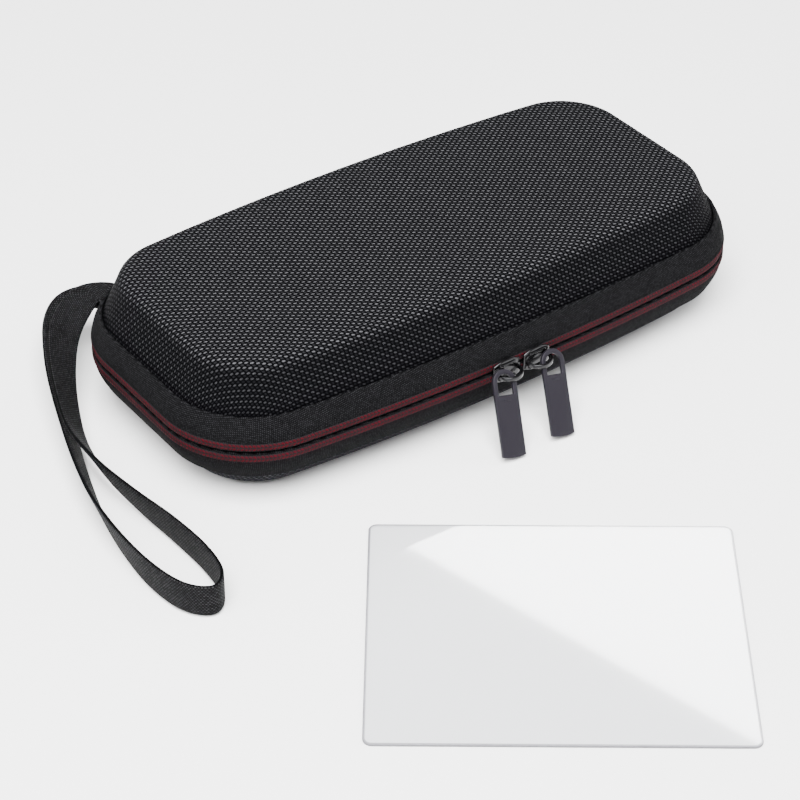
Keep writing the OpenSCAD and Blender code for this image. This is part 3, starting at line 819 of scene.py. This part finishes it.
def stitches(rows, name, body, lift=0.06 * MM):
    """Rows of stitches; each row is a list of points with the way out from the cloth at each."""
    s = sizes()
    bm = bmesh.new()
    for row in rows:
        total = [0.0]
        for (a, _), (b, _) in zip(row, row[1:]):
            total.append(total[-1] + (b - a).length)
        count = max(1, int(total[-1] / s.stitch_len))
        step = total[-1] / count

        def at(distance):
            i = max(k for k in range(len(row) - 1) if total[k] <= distance + 1e-9)
            share = min(1, (distance - total[i]) / (total[i + 1] - total[i]))
            return row[i][0].lerp(row[i + 1][0], share), row[i][1].lerp(row[i + 1][1], share).normalized()

        for n in range(count):
            (a, out), (b, _) = at(n * step + 0.14 * step), at(n * step + 0.86 * step)
            ahead = (b - a).normalized()
            side = ahead.cross(out).normalized()
            ring = bmesh.ops.create_circle(bm, cap_ends=False, radius=s.thread_r, segments=6)["verts"]
            turn = Matrix((side, ahead.cross(side), ahead)).transposed().to_4x4()
            bmesh.ops.transform(bm, verts=ring, matrix=Matrix.Translation(a - out * s.thread_r) @ turn)
            edges = list({e for v in ring for e in v.link_edges})
            length = (b - a).length
            for share, rise, fat in ((0.12, 0.9, 1.0), (0.5, 1.3, 1.05), (0.88, 0.9, 1.0), (1.0, -1.0, 0.8)):
                goal = a + ahead * length * share + out * (s.thread_r * rise * 0.55 + lift * (rise > 0))
                got = bmesh.ops.extrude_edge_only(bm, edges=edges)["geom"]
                verts = verts_in(got)
                middle = sum((v.co for v in verts), Vector()) / len(verts)
                bmesh.ops.translate(bm, verts=verts, vec=goal - middle)
                edges = edges_in(got, verts)
    bmesh.ops.holes_fill(bm, edges=[e for e in bm.edges if e.is_boundary])
    bmesh.ops.recalc_face_normals(bm, faces=bm.faces)
    return piece(bm, name, sewing_thread(), body)


def at_front(x):
    """Carries a slider from its own place to the front of the zip line, facing -Y."""
    return (
        Matrix.Translation((0, SIDE_Y, BASE_DEPTH))
        @ Matrix.Rotation(asin(x / SIDE_R), 4, "Z")
        @ Matrix.Translation((0, -SIDE_R, 0))
    )


def area_light(name, spot, size, power):
    light = bpy.data.lights.new(name, "AREA")
    light.shape, light.size, light.energy = "SQUARE", size, power
    lamp = bpy.data.objects.new(name, light)
    bpy.context.scene.collection.objects.link(lamp)
    lamp.location = spot
    return lamp


# ---- operators ----


class CASE_OT_stage(bpy.types.Operator):
    """Sets the floor, the soft lights and the camera"""

    bl_idname = "case.stage"
    bl_label = "Studio"

    def execute(self, context):
        scene = context.scene
        data = bpy.data.cameras.new("camera")
        data.sensor_width, data.lens = 36, 117.4
        data.clip_start, data.clip_end = 0.01, 20
        camera = bpy.data.objects.new("camera", data)
        scene.collection.objects.link(camera)
        scene.camera = camera
        ahead = CAMERA_WAY.normalized()
        level = ahead.cross(UP).normalized()
        turn = Matrix((level, level.cross(ahead), -ahead)).transposed().to_4x4()
        camera.matrix_world = Matrix.Translation(CAMERA_PLACE) @ turn

        bm = bmesh.new()
        bmesh.ops.create_grid(bm, x_segments=8, y_segments=8, size=3.0)
        floor = piece(bm, "floor", studio_floor(), None)

        world = bpy.data.worlds.new("studio")
        scene.world = world
        world.use_nodes = True
        sky = world.node_tree.nodes["Background"]
        sky.inputs[0].default_value = (1.0, 1.0, 1.0, 1.0)
        sky.inputs[1].default_value = 0.6
        lamps = (
            ("overhead", (-0.45, -0.55, 1.35), (-0.05, -0.05, 0), 1.1, 125),
            ("left", (-1.1, 0.1, 0.7), (0, 0, 0.02), 0.6, 8),
            ("right", (1.0, -0.5, 0.6), (0, 0, 0.02), 0.6, 8),
        )
        for name, spot, aim, size, power in lamps:
            lamp = area_light(name, spot, size, power)
            lamp.rotation_euler = (Vector(aim) - Vector(spot)).to_track_quat("-Z", "Y").to_euler()
        return {"FINISHED"}


class CASE_OT_wrist_strap(bpy.types.Operator):
    """Models the flat webbing of the wrist strap along its route"""

    bl_idname = "case.wrist_strap"
    bl_label = "Wrist strap"

    def execute(self, context):
        route = [Vector(p) for p in STRAP_ROUTE]
        cuts, stations = 6, []
        for i in range(len(route) - 1):
            a, b, c, d = route[max(i - 1, 0)], route[i], route[i + 1], route[min(i + 2, len(route) - 1)]
            for k in range(cuts):
                t = k / cuts
                square, cube = 2 * a - 5 * b + 4 * c - d, 3 * b - a - 3 * c + d
                stations.append(0.5 * (2 * b + (c - a) * t + square * t**2 + cube * t**3))
        stations.append(route[-1])
        points = [s.to_3d() * MM for s in stations]
        shape = [
            (-0.5, -0.1), (-0.49, -0.32), (-0.46, -0.46), (-0.4, -0.5), (-0.2, -0.5), (0, -0.5),
            (0.2, -0.5), (0.4, -0.5), (0.46, -0.46), (0.49, -0.32), (0.5, -0.1),
        ]
        shape = shape + [(-x, -y) for x, y in shape]
        bm = bmesh.new()
        bm.loops.layers.uv.new("UVMap")
        bm.verts.layers.float.new("run")
        bm.verts.layers.float.new("wide")
        uv = bm.loops.layers.uv["UVMap"]
        run, wide = bm.verts.layers.float["run"], bm.verts.layers.float["wide"]
        edges, before, travelled = None, None, 0.0
        for i, p in enumerate(points):
            ahead = (points[min(i + 1, len(points) - 1)] - points[max(i - 1, 0)]).normalized()
            level = ahead.cross(UP).normalized()
            rise = level.cross(ahead)
            tilt = radians(stations[i].w)
            across = level * cos(tilt) + rise * sin(tilt)
            thick = across.cross(ahead)
            travelled += (p - points[i - 1]).length if i else 0
            spots = [p + across * x * STRAP_W + thick * y * STRAP_T for x, y in shape]
            if edges is None:
                verts = [bm.verts.new(q) for q in spots]
                edges = [bm.edges.new(pair) for pair in zip(verts, verts[1:] + verts[:1])]
                bm.faces.new(verts)
                for v, (x, y) in zip(verts, shape):
                    v[wide] = x * STRAP_W
                continue
            got = bmesh.ops.extrude_edge_only(bm, edges=edges)["geom"]
            fresh = set(verts_in(got))
            partner = {}
            for g in got:
                if isinstance(g, bmesh.types.BMFace):
                    for e in g.edges:
                        a, b = e.verts
                        if (a in fresh) != (b in fresh):
                            partner[b if a in fresh else a] = a if a in fresh else b
            verts = [partner[v] for v in verts]
            for v, q in zip(verts, spots):
                v.co, v[run] = q, travelled
            edges = edges_in(got, fresh)
        bm.faces.new(verts)
        bmesh.ops.recalc_face_normals(bm, faces=bm.faces)
        for face in bm.faces:
            for loop in face.loops:
                loop[uv].uv = (loop.vert[run], loop.vert[wide])
        strap = piece(bm, "webbing_loop", webbing(), "root", ["wrist_strap"], sharp=60)
        return {"FINISHED"}


class CASE_OT_shells(bpy.types.Operator):
    """Models the cloth-covered foam shells of the base and the lid"""

    bl_idname = "case.shells"
    bl_label = "Shells"

    def execute(self, context):
        for part, half, side, body in HALVES:
            outer, inner = with_run(shell_face(half, 0)), with_run(shell_face(half, SHELL_WALL, 3))
            bm = sweep(inner[::-1] + outer, side, closed=False)
            lay_unfolded(bm)
            name, node = part + "_cloth", part + "_shell"
            piece(bm, name, ballistic_cloth(part), body, [node], sharp=50)
        return {"FINISHED"}


class CASE_OT_linings(bpy.types.Operator):
    """Models the napped linings and the bindings over the rims"""

    bl_idname = "case.linings"
    bl_label = "Linings and bindings"

    def execute(self, context):
        lip = TAPE_T + GLUE + 2 * COIL_R + 0.4 * MM
        depth = LINING_BACK + GLUE
        for part, half, side, body in HALVES:
            face = with_run(shell_face(half, LINING_FACE, 3))
            back = with_run(shell_face(half, LINING_BACK, 3))
            bm = sweep(back[::-1] + face, side, closed=False)
            lay_unfolded(bm)
            piece(bm, part + "_nap", napped_lining(), body, [part + "_lining"], sharp=50)

            def on_wall(depth, height):
                a, b = moved(shell_path(half), depth)[:2]
                return a + (b - a) * (height - a.y) / (b.y - a.y)

            top = RIM_Z - GLUE
            section = [
                (lip, top - BINDING_T, 0), (lip, top, BINDING_T),
                (on_wall(depth, RIM_Z).x, top, 3.4 * MM),
                (*moved(shell_path(half), depth)[1], 8 * MM),
                (*moved(shell_path(half), depth + BINDING_T)[1], 7.6 * MM),
                (*on_wall(depth + BINDING_T, top - BINDING_T), 2.6 * MM),
            ]
            bm = sweep(section, side, closed=True)
            soften(bm, 0.3 * MM, 2, 50)
            lay_along(bm)
            piece(bm, part + "_edge_tape", webbing(), body, [part + "_binding"], sharp=50)
        return {"FINISHED"}


class CASE_OT_zip(bpy.types.Operator):
    """Models the zip band: tapes, stitched stripes and coils"""

    bl_idname = "case.zip"
    bl_label = "Zip"

    def execute(self, context):
        steps, gap = 14, GLUE / 2
        span = TAPE_H - SLIT / 2
        for part, side, body in (("lower", -1, "root"), ("upper", 1, "lid")):
            outer = [tape_point(0.9 * i / steps) for i in range(steps + 1)]
            fold = [tape_point(0.93) + Vector((TAPE_T / 2 - TAPE_T / 2 * cos(a), 0.7 * MM * sin(a)))
                    for a in (0.35, 0.7, 1.05, 1.4, 1.75, 2.1, 2.45, 2.8)]
            inner = [tape_point(0.93 * i / steps) + Vector((TAPE_T, 0)) for i in range(steps, -1, -1)]
            lip = tape_point(0) + Vector((TAPE_T / 2, -0.12 * MM))
            section = [(p.x, p.y, p.y) for p in outer + fold + inner + [lip]]
            bm = sweep(section, side, closed=True)
            lay_along(bm)
            piece(bm, part + "_band", zip_tape(), body, [part + "_tape"], sharp=60)

            first = 0.03
            shares = [first + STRIPE_W / span * i / 6 for i in range(7)]
            middle = (shares[0] + shares[-1]) / 2
            swell = [gap + STRIPE_T * (0.45 + 0.55 * sin(pi * (i + 0.6) / 7.2)) for i in range(7)]
            crown = [tape_point(s, rise) for s, rise in zip(shares, swell)]
            under = [tape_point(s, gap) for s in shares[::-1]]
            section = [(p.x, p.y, (s - middle) * span) for p, s in zip(crown + under, shares + shares[::-1])]
            bm = sweep(section, side, closed=True, ring=False)
            lay_along(bm)
            piece(bm, part + "_knit", knit_stripe(), body, [part + "_stripe"], sharp=60)
            self.coil(part, side, body)
        return {"FINISHED"}

    def coil(self, part, side, body):
        s = sizes()
        turns, corners, batch = int((4 * QUARTER - 2 * SIDE_RUN) / s.tooth_pitch), 10, 24
        start = -(2 * QUARTER - SIDE_RUN) + (0.5 * s.tooth_pitch if side > 0 else 0)
        helix = bmesh.new()
        ring = bmesh.ops.create_circle(
            helix, cap_ends=False, radius=s.wire_r, segments=5,
            matrix=Matrix.Translation((0, COIL_R - s.wire_r, 0)) @ Matrix.Rotation(radians(90), 4, "Y")
            @ Matrix.Rotation(radians(90), 4, "X"),
        )["verts"]
        edges = list({e for v in ring for e in v.link_edges})
        bmesh.ops.spin(
            helix, geom=list(ring) + edges, cent=(0, 0, 0), axis=(1, 0, 0),
            dvec=(s.tooth_pitch / corners, 0, 0), angle=2 * pi * batch, steps=batch * corners,
            use_duplicate=False,
        )
        held = bpy.data.meshes.new("helix")
        helix.to_mesh(held)
        helix.free()
        bm = bmesh.new()
        for _ in range((turns - 2) // batch):
            bm.from_mesh(held)
            held.transform(Matrix.Translation((batch * s.tooth_pitch, 0, 0)))
        bpy.data.meshes.remove(held)
        bmesh.ops.remove_doubles(bm, verts=bm.verts, dist=5e-6)
        reach = 4 * QUARTER - 2 * SIDE_RUN - s.tooth_pitch
        stretch = reach / max(v.co.x for v in bm.verts)
        for v in bm.verts:
            inset = TAPE_T + GLUE + COIL_R + v.co.y
            spot, _ = on_line(start + v.co.x * stretch, inset)
            v.co = (spot.x, spot.y, BASE_DEPTH + side * (SLIT / 2 + GLUE + COIL_R + v.co.z))
        bmesh.ops.holes_fill(bm, edges=[e for e in bm.edges if e.is_boundary])
        bmesh.ops.recalc_face_normals(bm, faces=bm.faces)
        piece(bm, part + "_teeth", coil_plastic(), body, [part + "_coil"], sharp=80)


class CASE_OT_inside(bpy.types.Operator):
    """Models the elastic band, the net pocket and its hem"""

    bl_idname = "case.inside"
    bl_label = "Inside fittings"

    def execute(self, context):
        bm = node_copy("elastic_band")
        bmesh.ops.subdivide_edges(
            bm, edges=[e for e in bm.edges if abs(e.verts[0].co.y - e.verts[1].co.y) > 30 * MM], cuts=12
        )
        soften(bm, 0.25 * MM, 2, 50)
        lay_planar(bm, Vector((0, 1, 0.35)), Vector((1, 0, 0)))
        piece(bm, "elastic_strap", webbing(), "root", ["elastic_band"], sharp=50)
        net_low, net_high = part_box("net_pocket")
        bm = bmesh.new()
        source = node_copy("net_pocket")
        top = [f for f in source.faces if f.normal.z < -0.9]
        loop = [e for e in source.edges if sum(f in top for f in e.link_faces) == 1]
        chain = [loop[0].verts[0], loop[0].verts[1]]
        while len(chain) < len(loop):
            near = [e.other_vert(chain[-1]) for e in loop if chain[-1] in e.verts]
            chain.append(next(v for v in near if v != chain[-2]))
        bm.faces.new([bm.verts.new((v.co.x, v.co.y, (net_low.z + net_high.z) / 2)) for v in chain])
        source.free()
        pitch = sizes().net_pitch
        reach = net_high.x - net_low.x
        for lean in (1, -1):
            way = Vector((1, lean * 0.75, 0)).normalized()
            count = int(reach / pitch / 1.25) + 24
            for k in range(-count // 2, count // 2 + 1):
                bmesh.ops.bisect_plane(
                    bm, geom=bm.verts[:] + bm.edges[:] + bm.faces[:], dist=1e-6,
                    plane_co=way * (k * pitch), plane_no=way,
                )
        bmesh.ops.wireframe(
            bm, faces=bm.faces, thickness=sizes().net_cord, offset=0, use_replace=True, use_boundary=True,
            use_even_offset=False,
        )
        for v in bm.verts:
            _, inset, _ = near_line(v.co.x, v.co.y)
            if v.co.y > -MOUTH_Y + 2 * MM:
                v.co.z -= NET_SAG * min(1, max(0, (inset - 10 * MM) / (30 * MM))) ** 0.5
        bmesh.ops.recalc_face_normals(bm, faces=bm.faces)
        piece(bm, "net", coil_plastic(), "lid", ["net_pocket"], sharp=80)

        bm = node_copy("pocket_hem")
        bmesh.ops.subdivide_edges(
            bm, edges=[e for e in bm.edges if abs(e.verts[0].co.x - e.verts[1].co.x) > 30 * MM], cuts=60
        )
        soften(bm, 0.4 * MM, 3, 50)
        low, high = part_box("pocket_hem")
        for v in bm.verts:
            side = 1 if v.co.z > (low.z + high.z) / 2 else -1
            v.co.z += side * GATHER * sin(v.co.x * 2 * pi / GATHER_PITCH)
        lay_planar(bm, Vector((1, 0, 0)), Vector((0, 1, 0)))
        piece(bm, "hem_elastic", webbing(), "lid", ["pocket_hem"], sharp=50)
        hem = [
            [(Vector((x * MM, y, low.z)), -UP) for x in (-86, 0, 86)]
            for y in (low.y + 1.2 * MM, high.y - 1.2 * MM)
        ]
        stitches(hem, "hem_stitches", "lid")
        return {"FINISHED"}


class CASE_OT_back(bpy.types.Operator):
    """Models the cloth hinge, the zip end patches and the folded loop that holds the strap"""

    bl_idname = "case.back"
    bl_label = "Hinge, patches and strap anchor"

    def band_point(self, height, out):
        share = max(0, abs(height) - 0.3 * MM) / TAPE_H
        p = tape_point(share, out)
        return Vector((p.x, height))

    def execute(self, context):
        steps, outer, inner = 12, GLUE + HINGE_T, GLUE
        heights = [HINGE_H * (1 - i / steps) for i in range(2 * steps + 1)]
        section = [self.band_point(h, outer) for h in heights]
        section += [self.band_point(h, inner) for h in heights[::-1]]
        turn = asin(HINGE_LEN / 2 / SIDE_R)
        bm = bmesh.new()
        run = bm.verts.layers.float.new("run")
        verts = []
        for p in section:
            r = SIDE_R - p.x
            v = bm.verts.new((r * sin(turn), r * cos(turn) - SIDE_Y, BASE_DEPTH + p.y))
            v[run] = p.y
            verts.append(v)
        face = bm.faces.new(verts)
        bmesh.ops.spin(
            bm, geom=[face] + verts + list(face.edges), cent=(0, -SIDE_Y, 0), axis=(0, 0, 1),
            angle=2 * turn, steps=40, use_duplicate=False,
        )
        bmesh.ops.remove_doubles(bm, verts=bm.verts, dist=2e-6)
        bmesh.ops.recalc_face_normals(bm, faces=bm.faces)
        soften(bm, 0.2 * MM, 2, 60)
        lay_along(bm)
        leaves = ["hinge_leaf_lower", "hinge_leaf_upper"]
        hinge = piece(bm, "hinge_cloth", webbing(), None, leaves, sharp=50)
        axis = Vector((0, HINGE_AXIS_Y, BASE_DEPTH))
        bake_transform(hinge, "root", "lid", start=axis - UP * HINGE_BEND, end=axis + UP * HINGE_BEND)

        def row(height, from_x, to_x, count=40):
            points = []
            for i in range(count + 1):
                a = asin((from_x + (to_x - from_x) * i / count) / SIDE_R)
                r = SIDE_R - self.band_point(height, outer).x
                way = Vector((sin(a), cos(a), 0))
                points.append((way * r + Vector((0, -SIDE_Y, BASE_DEPTH + height)), way))
            return points

        reach = HINGE_LEN / 2 - 1.5 * MM
        stitches([row(h, -reach, reach) for h in HINGE_SEAMS], "hinge_upper_stitches", "lid")
        stitches([row(-h, -reach, reach) for h in HINGE_SEAMS], "hinge_lower_stitches", "root")
        for node, sign in (("zip_patch_left", -1), ("zip_patch_right", 1)):
            bm = node_copy(node)
            soften(bm, 0.25 * MM, 3, 50)
            lay_planar(bm, Vector((1, 0, 0)), Vector((0, 0, 1)))
            piece(bm, node.replace("zip_patch", "end_patch"), webbing(), "root", [node], sharp=50)
            near, far = (sign * (HINGE_LEN / 2 + reach) for reach in PATCH_ENDS)
            top, foot = (row(height, near, far, 4) for height in PATCH_SEAMS)
            seams = [top, foot, [top[0], foot[0]], [top[-1], foot[-1]]]
            stitches(seams, node.replace("zip_patch", "patch_stitches"), "root")
        bm = node_copy("strap_anchor")
        soften(bm, 0.7 * MM, 4, 50)
        across = Vector((cos(ANCHOR_TURN), sin(ANCHOR_TURN), 0))
        out = UP.cross(across)
        lay_planar(bm, UP, across)
        piece(bm, "strap_loop", webbing(), "root", ["strap_anchor"], sharp=50)
        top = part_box("strap_anchor")[1].z
        middle = Vector((-CORNER_X, CORNER_Y, top)) + out * (CORNER_R + ANCHOR_REACH)
        rows = [
            [(middle + across * a * ANCHOR_HALF + out * d, UP) for a in (-1, 0, 1)]
            for d in (-ANCHOR_SEAM, ANCHOR_SEAM)
        ]
        stitches(rows, "anchor_stitches", "root")
        return {"FINISHED"}


class CASE_OT_sliders(bpy.types.Operator):
    """Models the two sliders: domed plates, neck and crown"""

    bl_idname = "case.sliders"
    bl_label = "Sliders"

    def plate(self, length, height, from_y, thick, dome):
        """A plate seen from the front as two flat arcs with blunt ends, from_y towards -Y."""
        bm = bmesh.new()
        bmesh.ops.create_grid(bm, x_segments=14, y_segments=8, size=0.5)
        for v in bm.verts:
            x, share = v.co.x * length, 2 * v.co.y
            half = height / 2 - length + sqrt(length**2 - x**2)
            bulge = dome * (1 - (2 * x / length) ** 2) ** 0.5 * (1 - share**2) if abs(x) < length / 2 else 0
            v.co = (x, from_y - thick - bulge, share * half)
        got = bmesh.ops.extrude_face_region(bm, geom=bm.faces[:])["geom"]
        for v in verts_in(got):
            v.co.y = from_y
        bmesh.ops.recalc_face_normals(bm, faces=bm.faces)
        soften(bm, sizes().metal_round, 3, 50)
        return bm

    def crown(self):
        """An upright strap bent round in the level plane, with eased edges."""
        bm = bmesh.new()
        middle, t, h = CROWN_R - CROWN_T / 2, CROWN_T / 2, CROWN_H / 2
        section = []
        for i in range(16):
            a = 2 * pi * i / 16
            x, z = (copysign(abs(f(a)) ** 0.55, f(a)) for f in (cos, sin))
            section.append((x * t, z * h))
        leg = CROWN_Y - PLATE_FACE + 0.3 * MM
        verts = [bm.verts.new((middle + x, leg, z)) for x, z in section]
        face = bm.faces.new(verts)
        for step in range(2):
            got = bmesh.ops.extrude_edge_only(bm, edges=list(face.edges) if step == 0 else edges)["geom"]
            fresh = verts_in(got)
            bmesh.ops.translate(bm, verts=fresh, vec=(0, -leg / 2, 0))
            edges = edges_in(got, fresh)
        got = bmesh.ops.spin(
            bm, geom=fresh + edges, cent=(0, 0, 0), axis=(0, 0, 1), angle=-pi, steps=28, use_duplicate=False
        )["geom_last"]
        got = bmesh.ops.extrude_edge_only(bm, edges=edges_in(got))["geom"]
        bmesh.ops.translate(bm, verts=verts_in(got), vec=(0, leg, 0))
        bmesh.ops.holes_fill(bm, edges=[e for e in bm.edges if e.is_boundary])
        bmesh.ops.translate(bm, verts=bm.verts, vec=(0, -CROWN_Y, 0))
        bmesh.ops.recalc_face_normals(bm, faces=bm.faces)
        return bm

    def execute(self, context):
        rear_h = 2 * (RIM_Z - GLUE - BINDING_T - 0.5 * MM)
        for node, x in (("slider_left", LEFT_X), ("slider_right", RIGHT_X)):
            bm = self.plate(SLIDER_LEN, SLIDER_H, -PLATE_Y, PLATE_T - PLATE_DOME, PLATE_DOME)
            join(bm, self.plate(SLIDER_LEN, rear_h, REAR_Y + PLATE_T, PLATE_T - 0.1 * MM, REAR_DOME))
            neck = (NECK_W, PLATE_Y + REAR_Y + 0.4 * MM, NECK_H)
            join(bm, block(neck, (0, (REAR_Y - PLATE_Y) / 2, 0), 0.2 * MM, 2))
            for z in (-SLIDER_H * 0.33, SLIDER_H * 0.33):
                cheek = (SLIDER_LEN * 0.62, CHEEK_T, CHEEK_H)
                join(bm, block(cheek, (0, -PLATE_FACE - SEAT, z), 0.22 * MM, 3))
            join(bm, self.crown())
            bmesh.ops.transform(bm, matrix=at_front(x), verts=bm.verts)
            piece(bm, node + "_body", black_metal(), node, [node], sharp=50)
        return {"FINISHED"}


class CASE_OT_pull_tabs(bpy.types.Operator):
    """Models the two pull tabs with eased edges and a pressed ridge under the slot"""

    bl_idname = "case.pull_tabs"
    bl_label = "Pull tabs"

    def execute(self, context):
        for node, x, hand in (("pull_tab_left", LEFT_X, -1), ("pull_tab_right", RIGHT_X, 1)):
            bm = node_copy(node)
            soften(bm, sizes().tab_round, 3, 50)
            place = (
                at_front(x) @ Matrix.Translation((hand * TAB_X, -TAB_Y, 0))
                @ Matrix.Rotation(-TAB_LEAN, 4, "X") @ Matrix.Rotation(pi / 2, 4, "X")
                @ Matrix.Rotation(-TAB_REST, 4, "Z")
            )
            spot = Matrix.Translation((0, -SLOT_DEPTH - RIDGE_DROP, TAB_T / 2 + SEAT))
            join(bm, block(RIDGE, (0, 0, 0), 0.12 * MM, 3), place @ spot)
            piece(bm, node.replace("pull_tab", "pull"), satin_paint(), node, [node], sharp=50)
        return {"FINISHED"}


class CASE_OT_clear_sheet(bpy.types.Operator):
    """Models the clear sheet with its polished edge"""

    bl_idname = "case.clear_sheet"
    bl_label = "Clear sheet"

    def execute(self, context):
        bm = node_copy("clear_sheet")
        soften(bm, sizes().sheet_round, 3, 50)
        faces = [f for f in bm.faces if f.normal.z > 0.999]
        # painted shade: an inset band along the top face's edge takes the grey edge material
        bmesh.ops.inset_region(bm, faces=faces, thickness=sizes().sheet_rim, depth=0, use_even_offset=True)
        for face in bm.faces:
            face.material_index = 0 if face in faces or face.normal.z < -0.999 else 1
        films = [clear_film("body"), clear_film("edge")]
        plate = piece(bm, "clear_plate", films, "clear_sheet", ["clear_sheet"], sharp=50)
        lamp = area_light("panel", PANEL_PLACE, 0.8, 120)
        lamp.rotation_euler = (0, 0, PANEL_TURN)
        lit = bpy.data.collections.new("lit_by_panel")
        lit.objects.link(plate)
        lamp.light_linking.receiver_collection = lit
        return {"FINISHED"}


STEPS = (
    CASE_OT_stage, CASE_OT_wrist_strap, CASE_OT_shells, CASE_OT_linings, CASE_OT_zip, CASE_OT_inside,
    CASE_OT_back, CASE_OT_sliders, CASE_OT_pull_tabs, CASE_OT_clear_sheet,
)


class CASE_PT_panel(bpy.types.Panel):
    """Lists the case's sizes, colours and pieces"""

    bl_idname = "CASE_PT_panel"
    bl_label = "Carrying case"
    bl_space_type = "VIEW_3D"
    bl_region_type = "UI"
    bl_category = "Case"

    def draw(self, context):
        for group in (context.scene.case_sizes, context.scene.case_colours):
            box = self.layout.box()
            for name in group.__annotations__:
                box.prop(group, name)
        for step in STEPS:
            self.layout.operator(step.bl_idname)


CLASSES = (CaseSizes, CaseColours, *STEPS, CASE_PT_panel)


def register():
    for cls in CLASSES:
        bpy.utils.register_class(cls)
    bpy.types.Scene.case_sizes = bpy.props.PointerProperty(type=CaseSizes)
    bpy.types.Scene.case_colours = bpy.props.PointerProperty(type=CaseColours)


def unregister():
    del bpy.types.Scene.case_colours
    del bpy.types.Scene.case_sizes
    for cls in reversed(CLASSES):
        bpy.utils.unregister_class(cls)


def main():
    register()
    bpy.ops.case.stage()
    bpy.ops.case.wrist_strap()
    bpy.ops.case.shells()
    bpy.ops.case.linings()
    bpy.ops.case.zip()
    bpy.ops.case.inside()
    bpy.ops.case.back()
    bpy.ops.case.sliders()
    bpy.ops.case.pull_tabs()
    bpy.ops.case.clear_sheet()


if __name__ == "__main__":
    main()
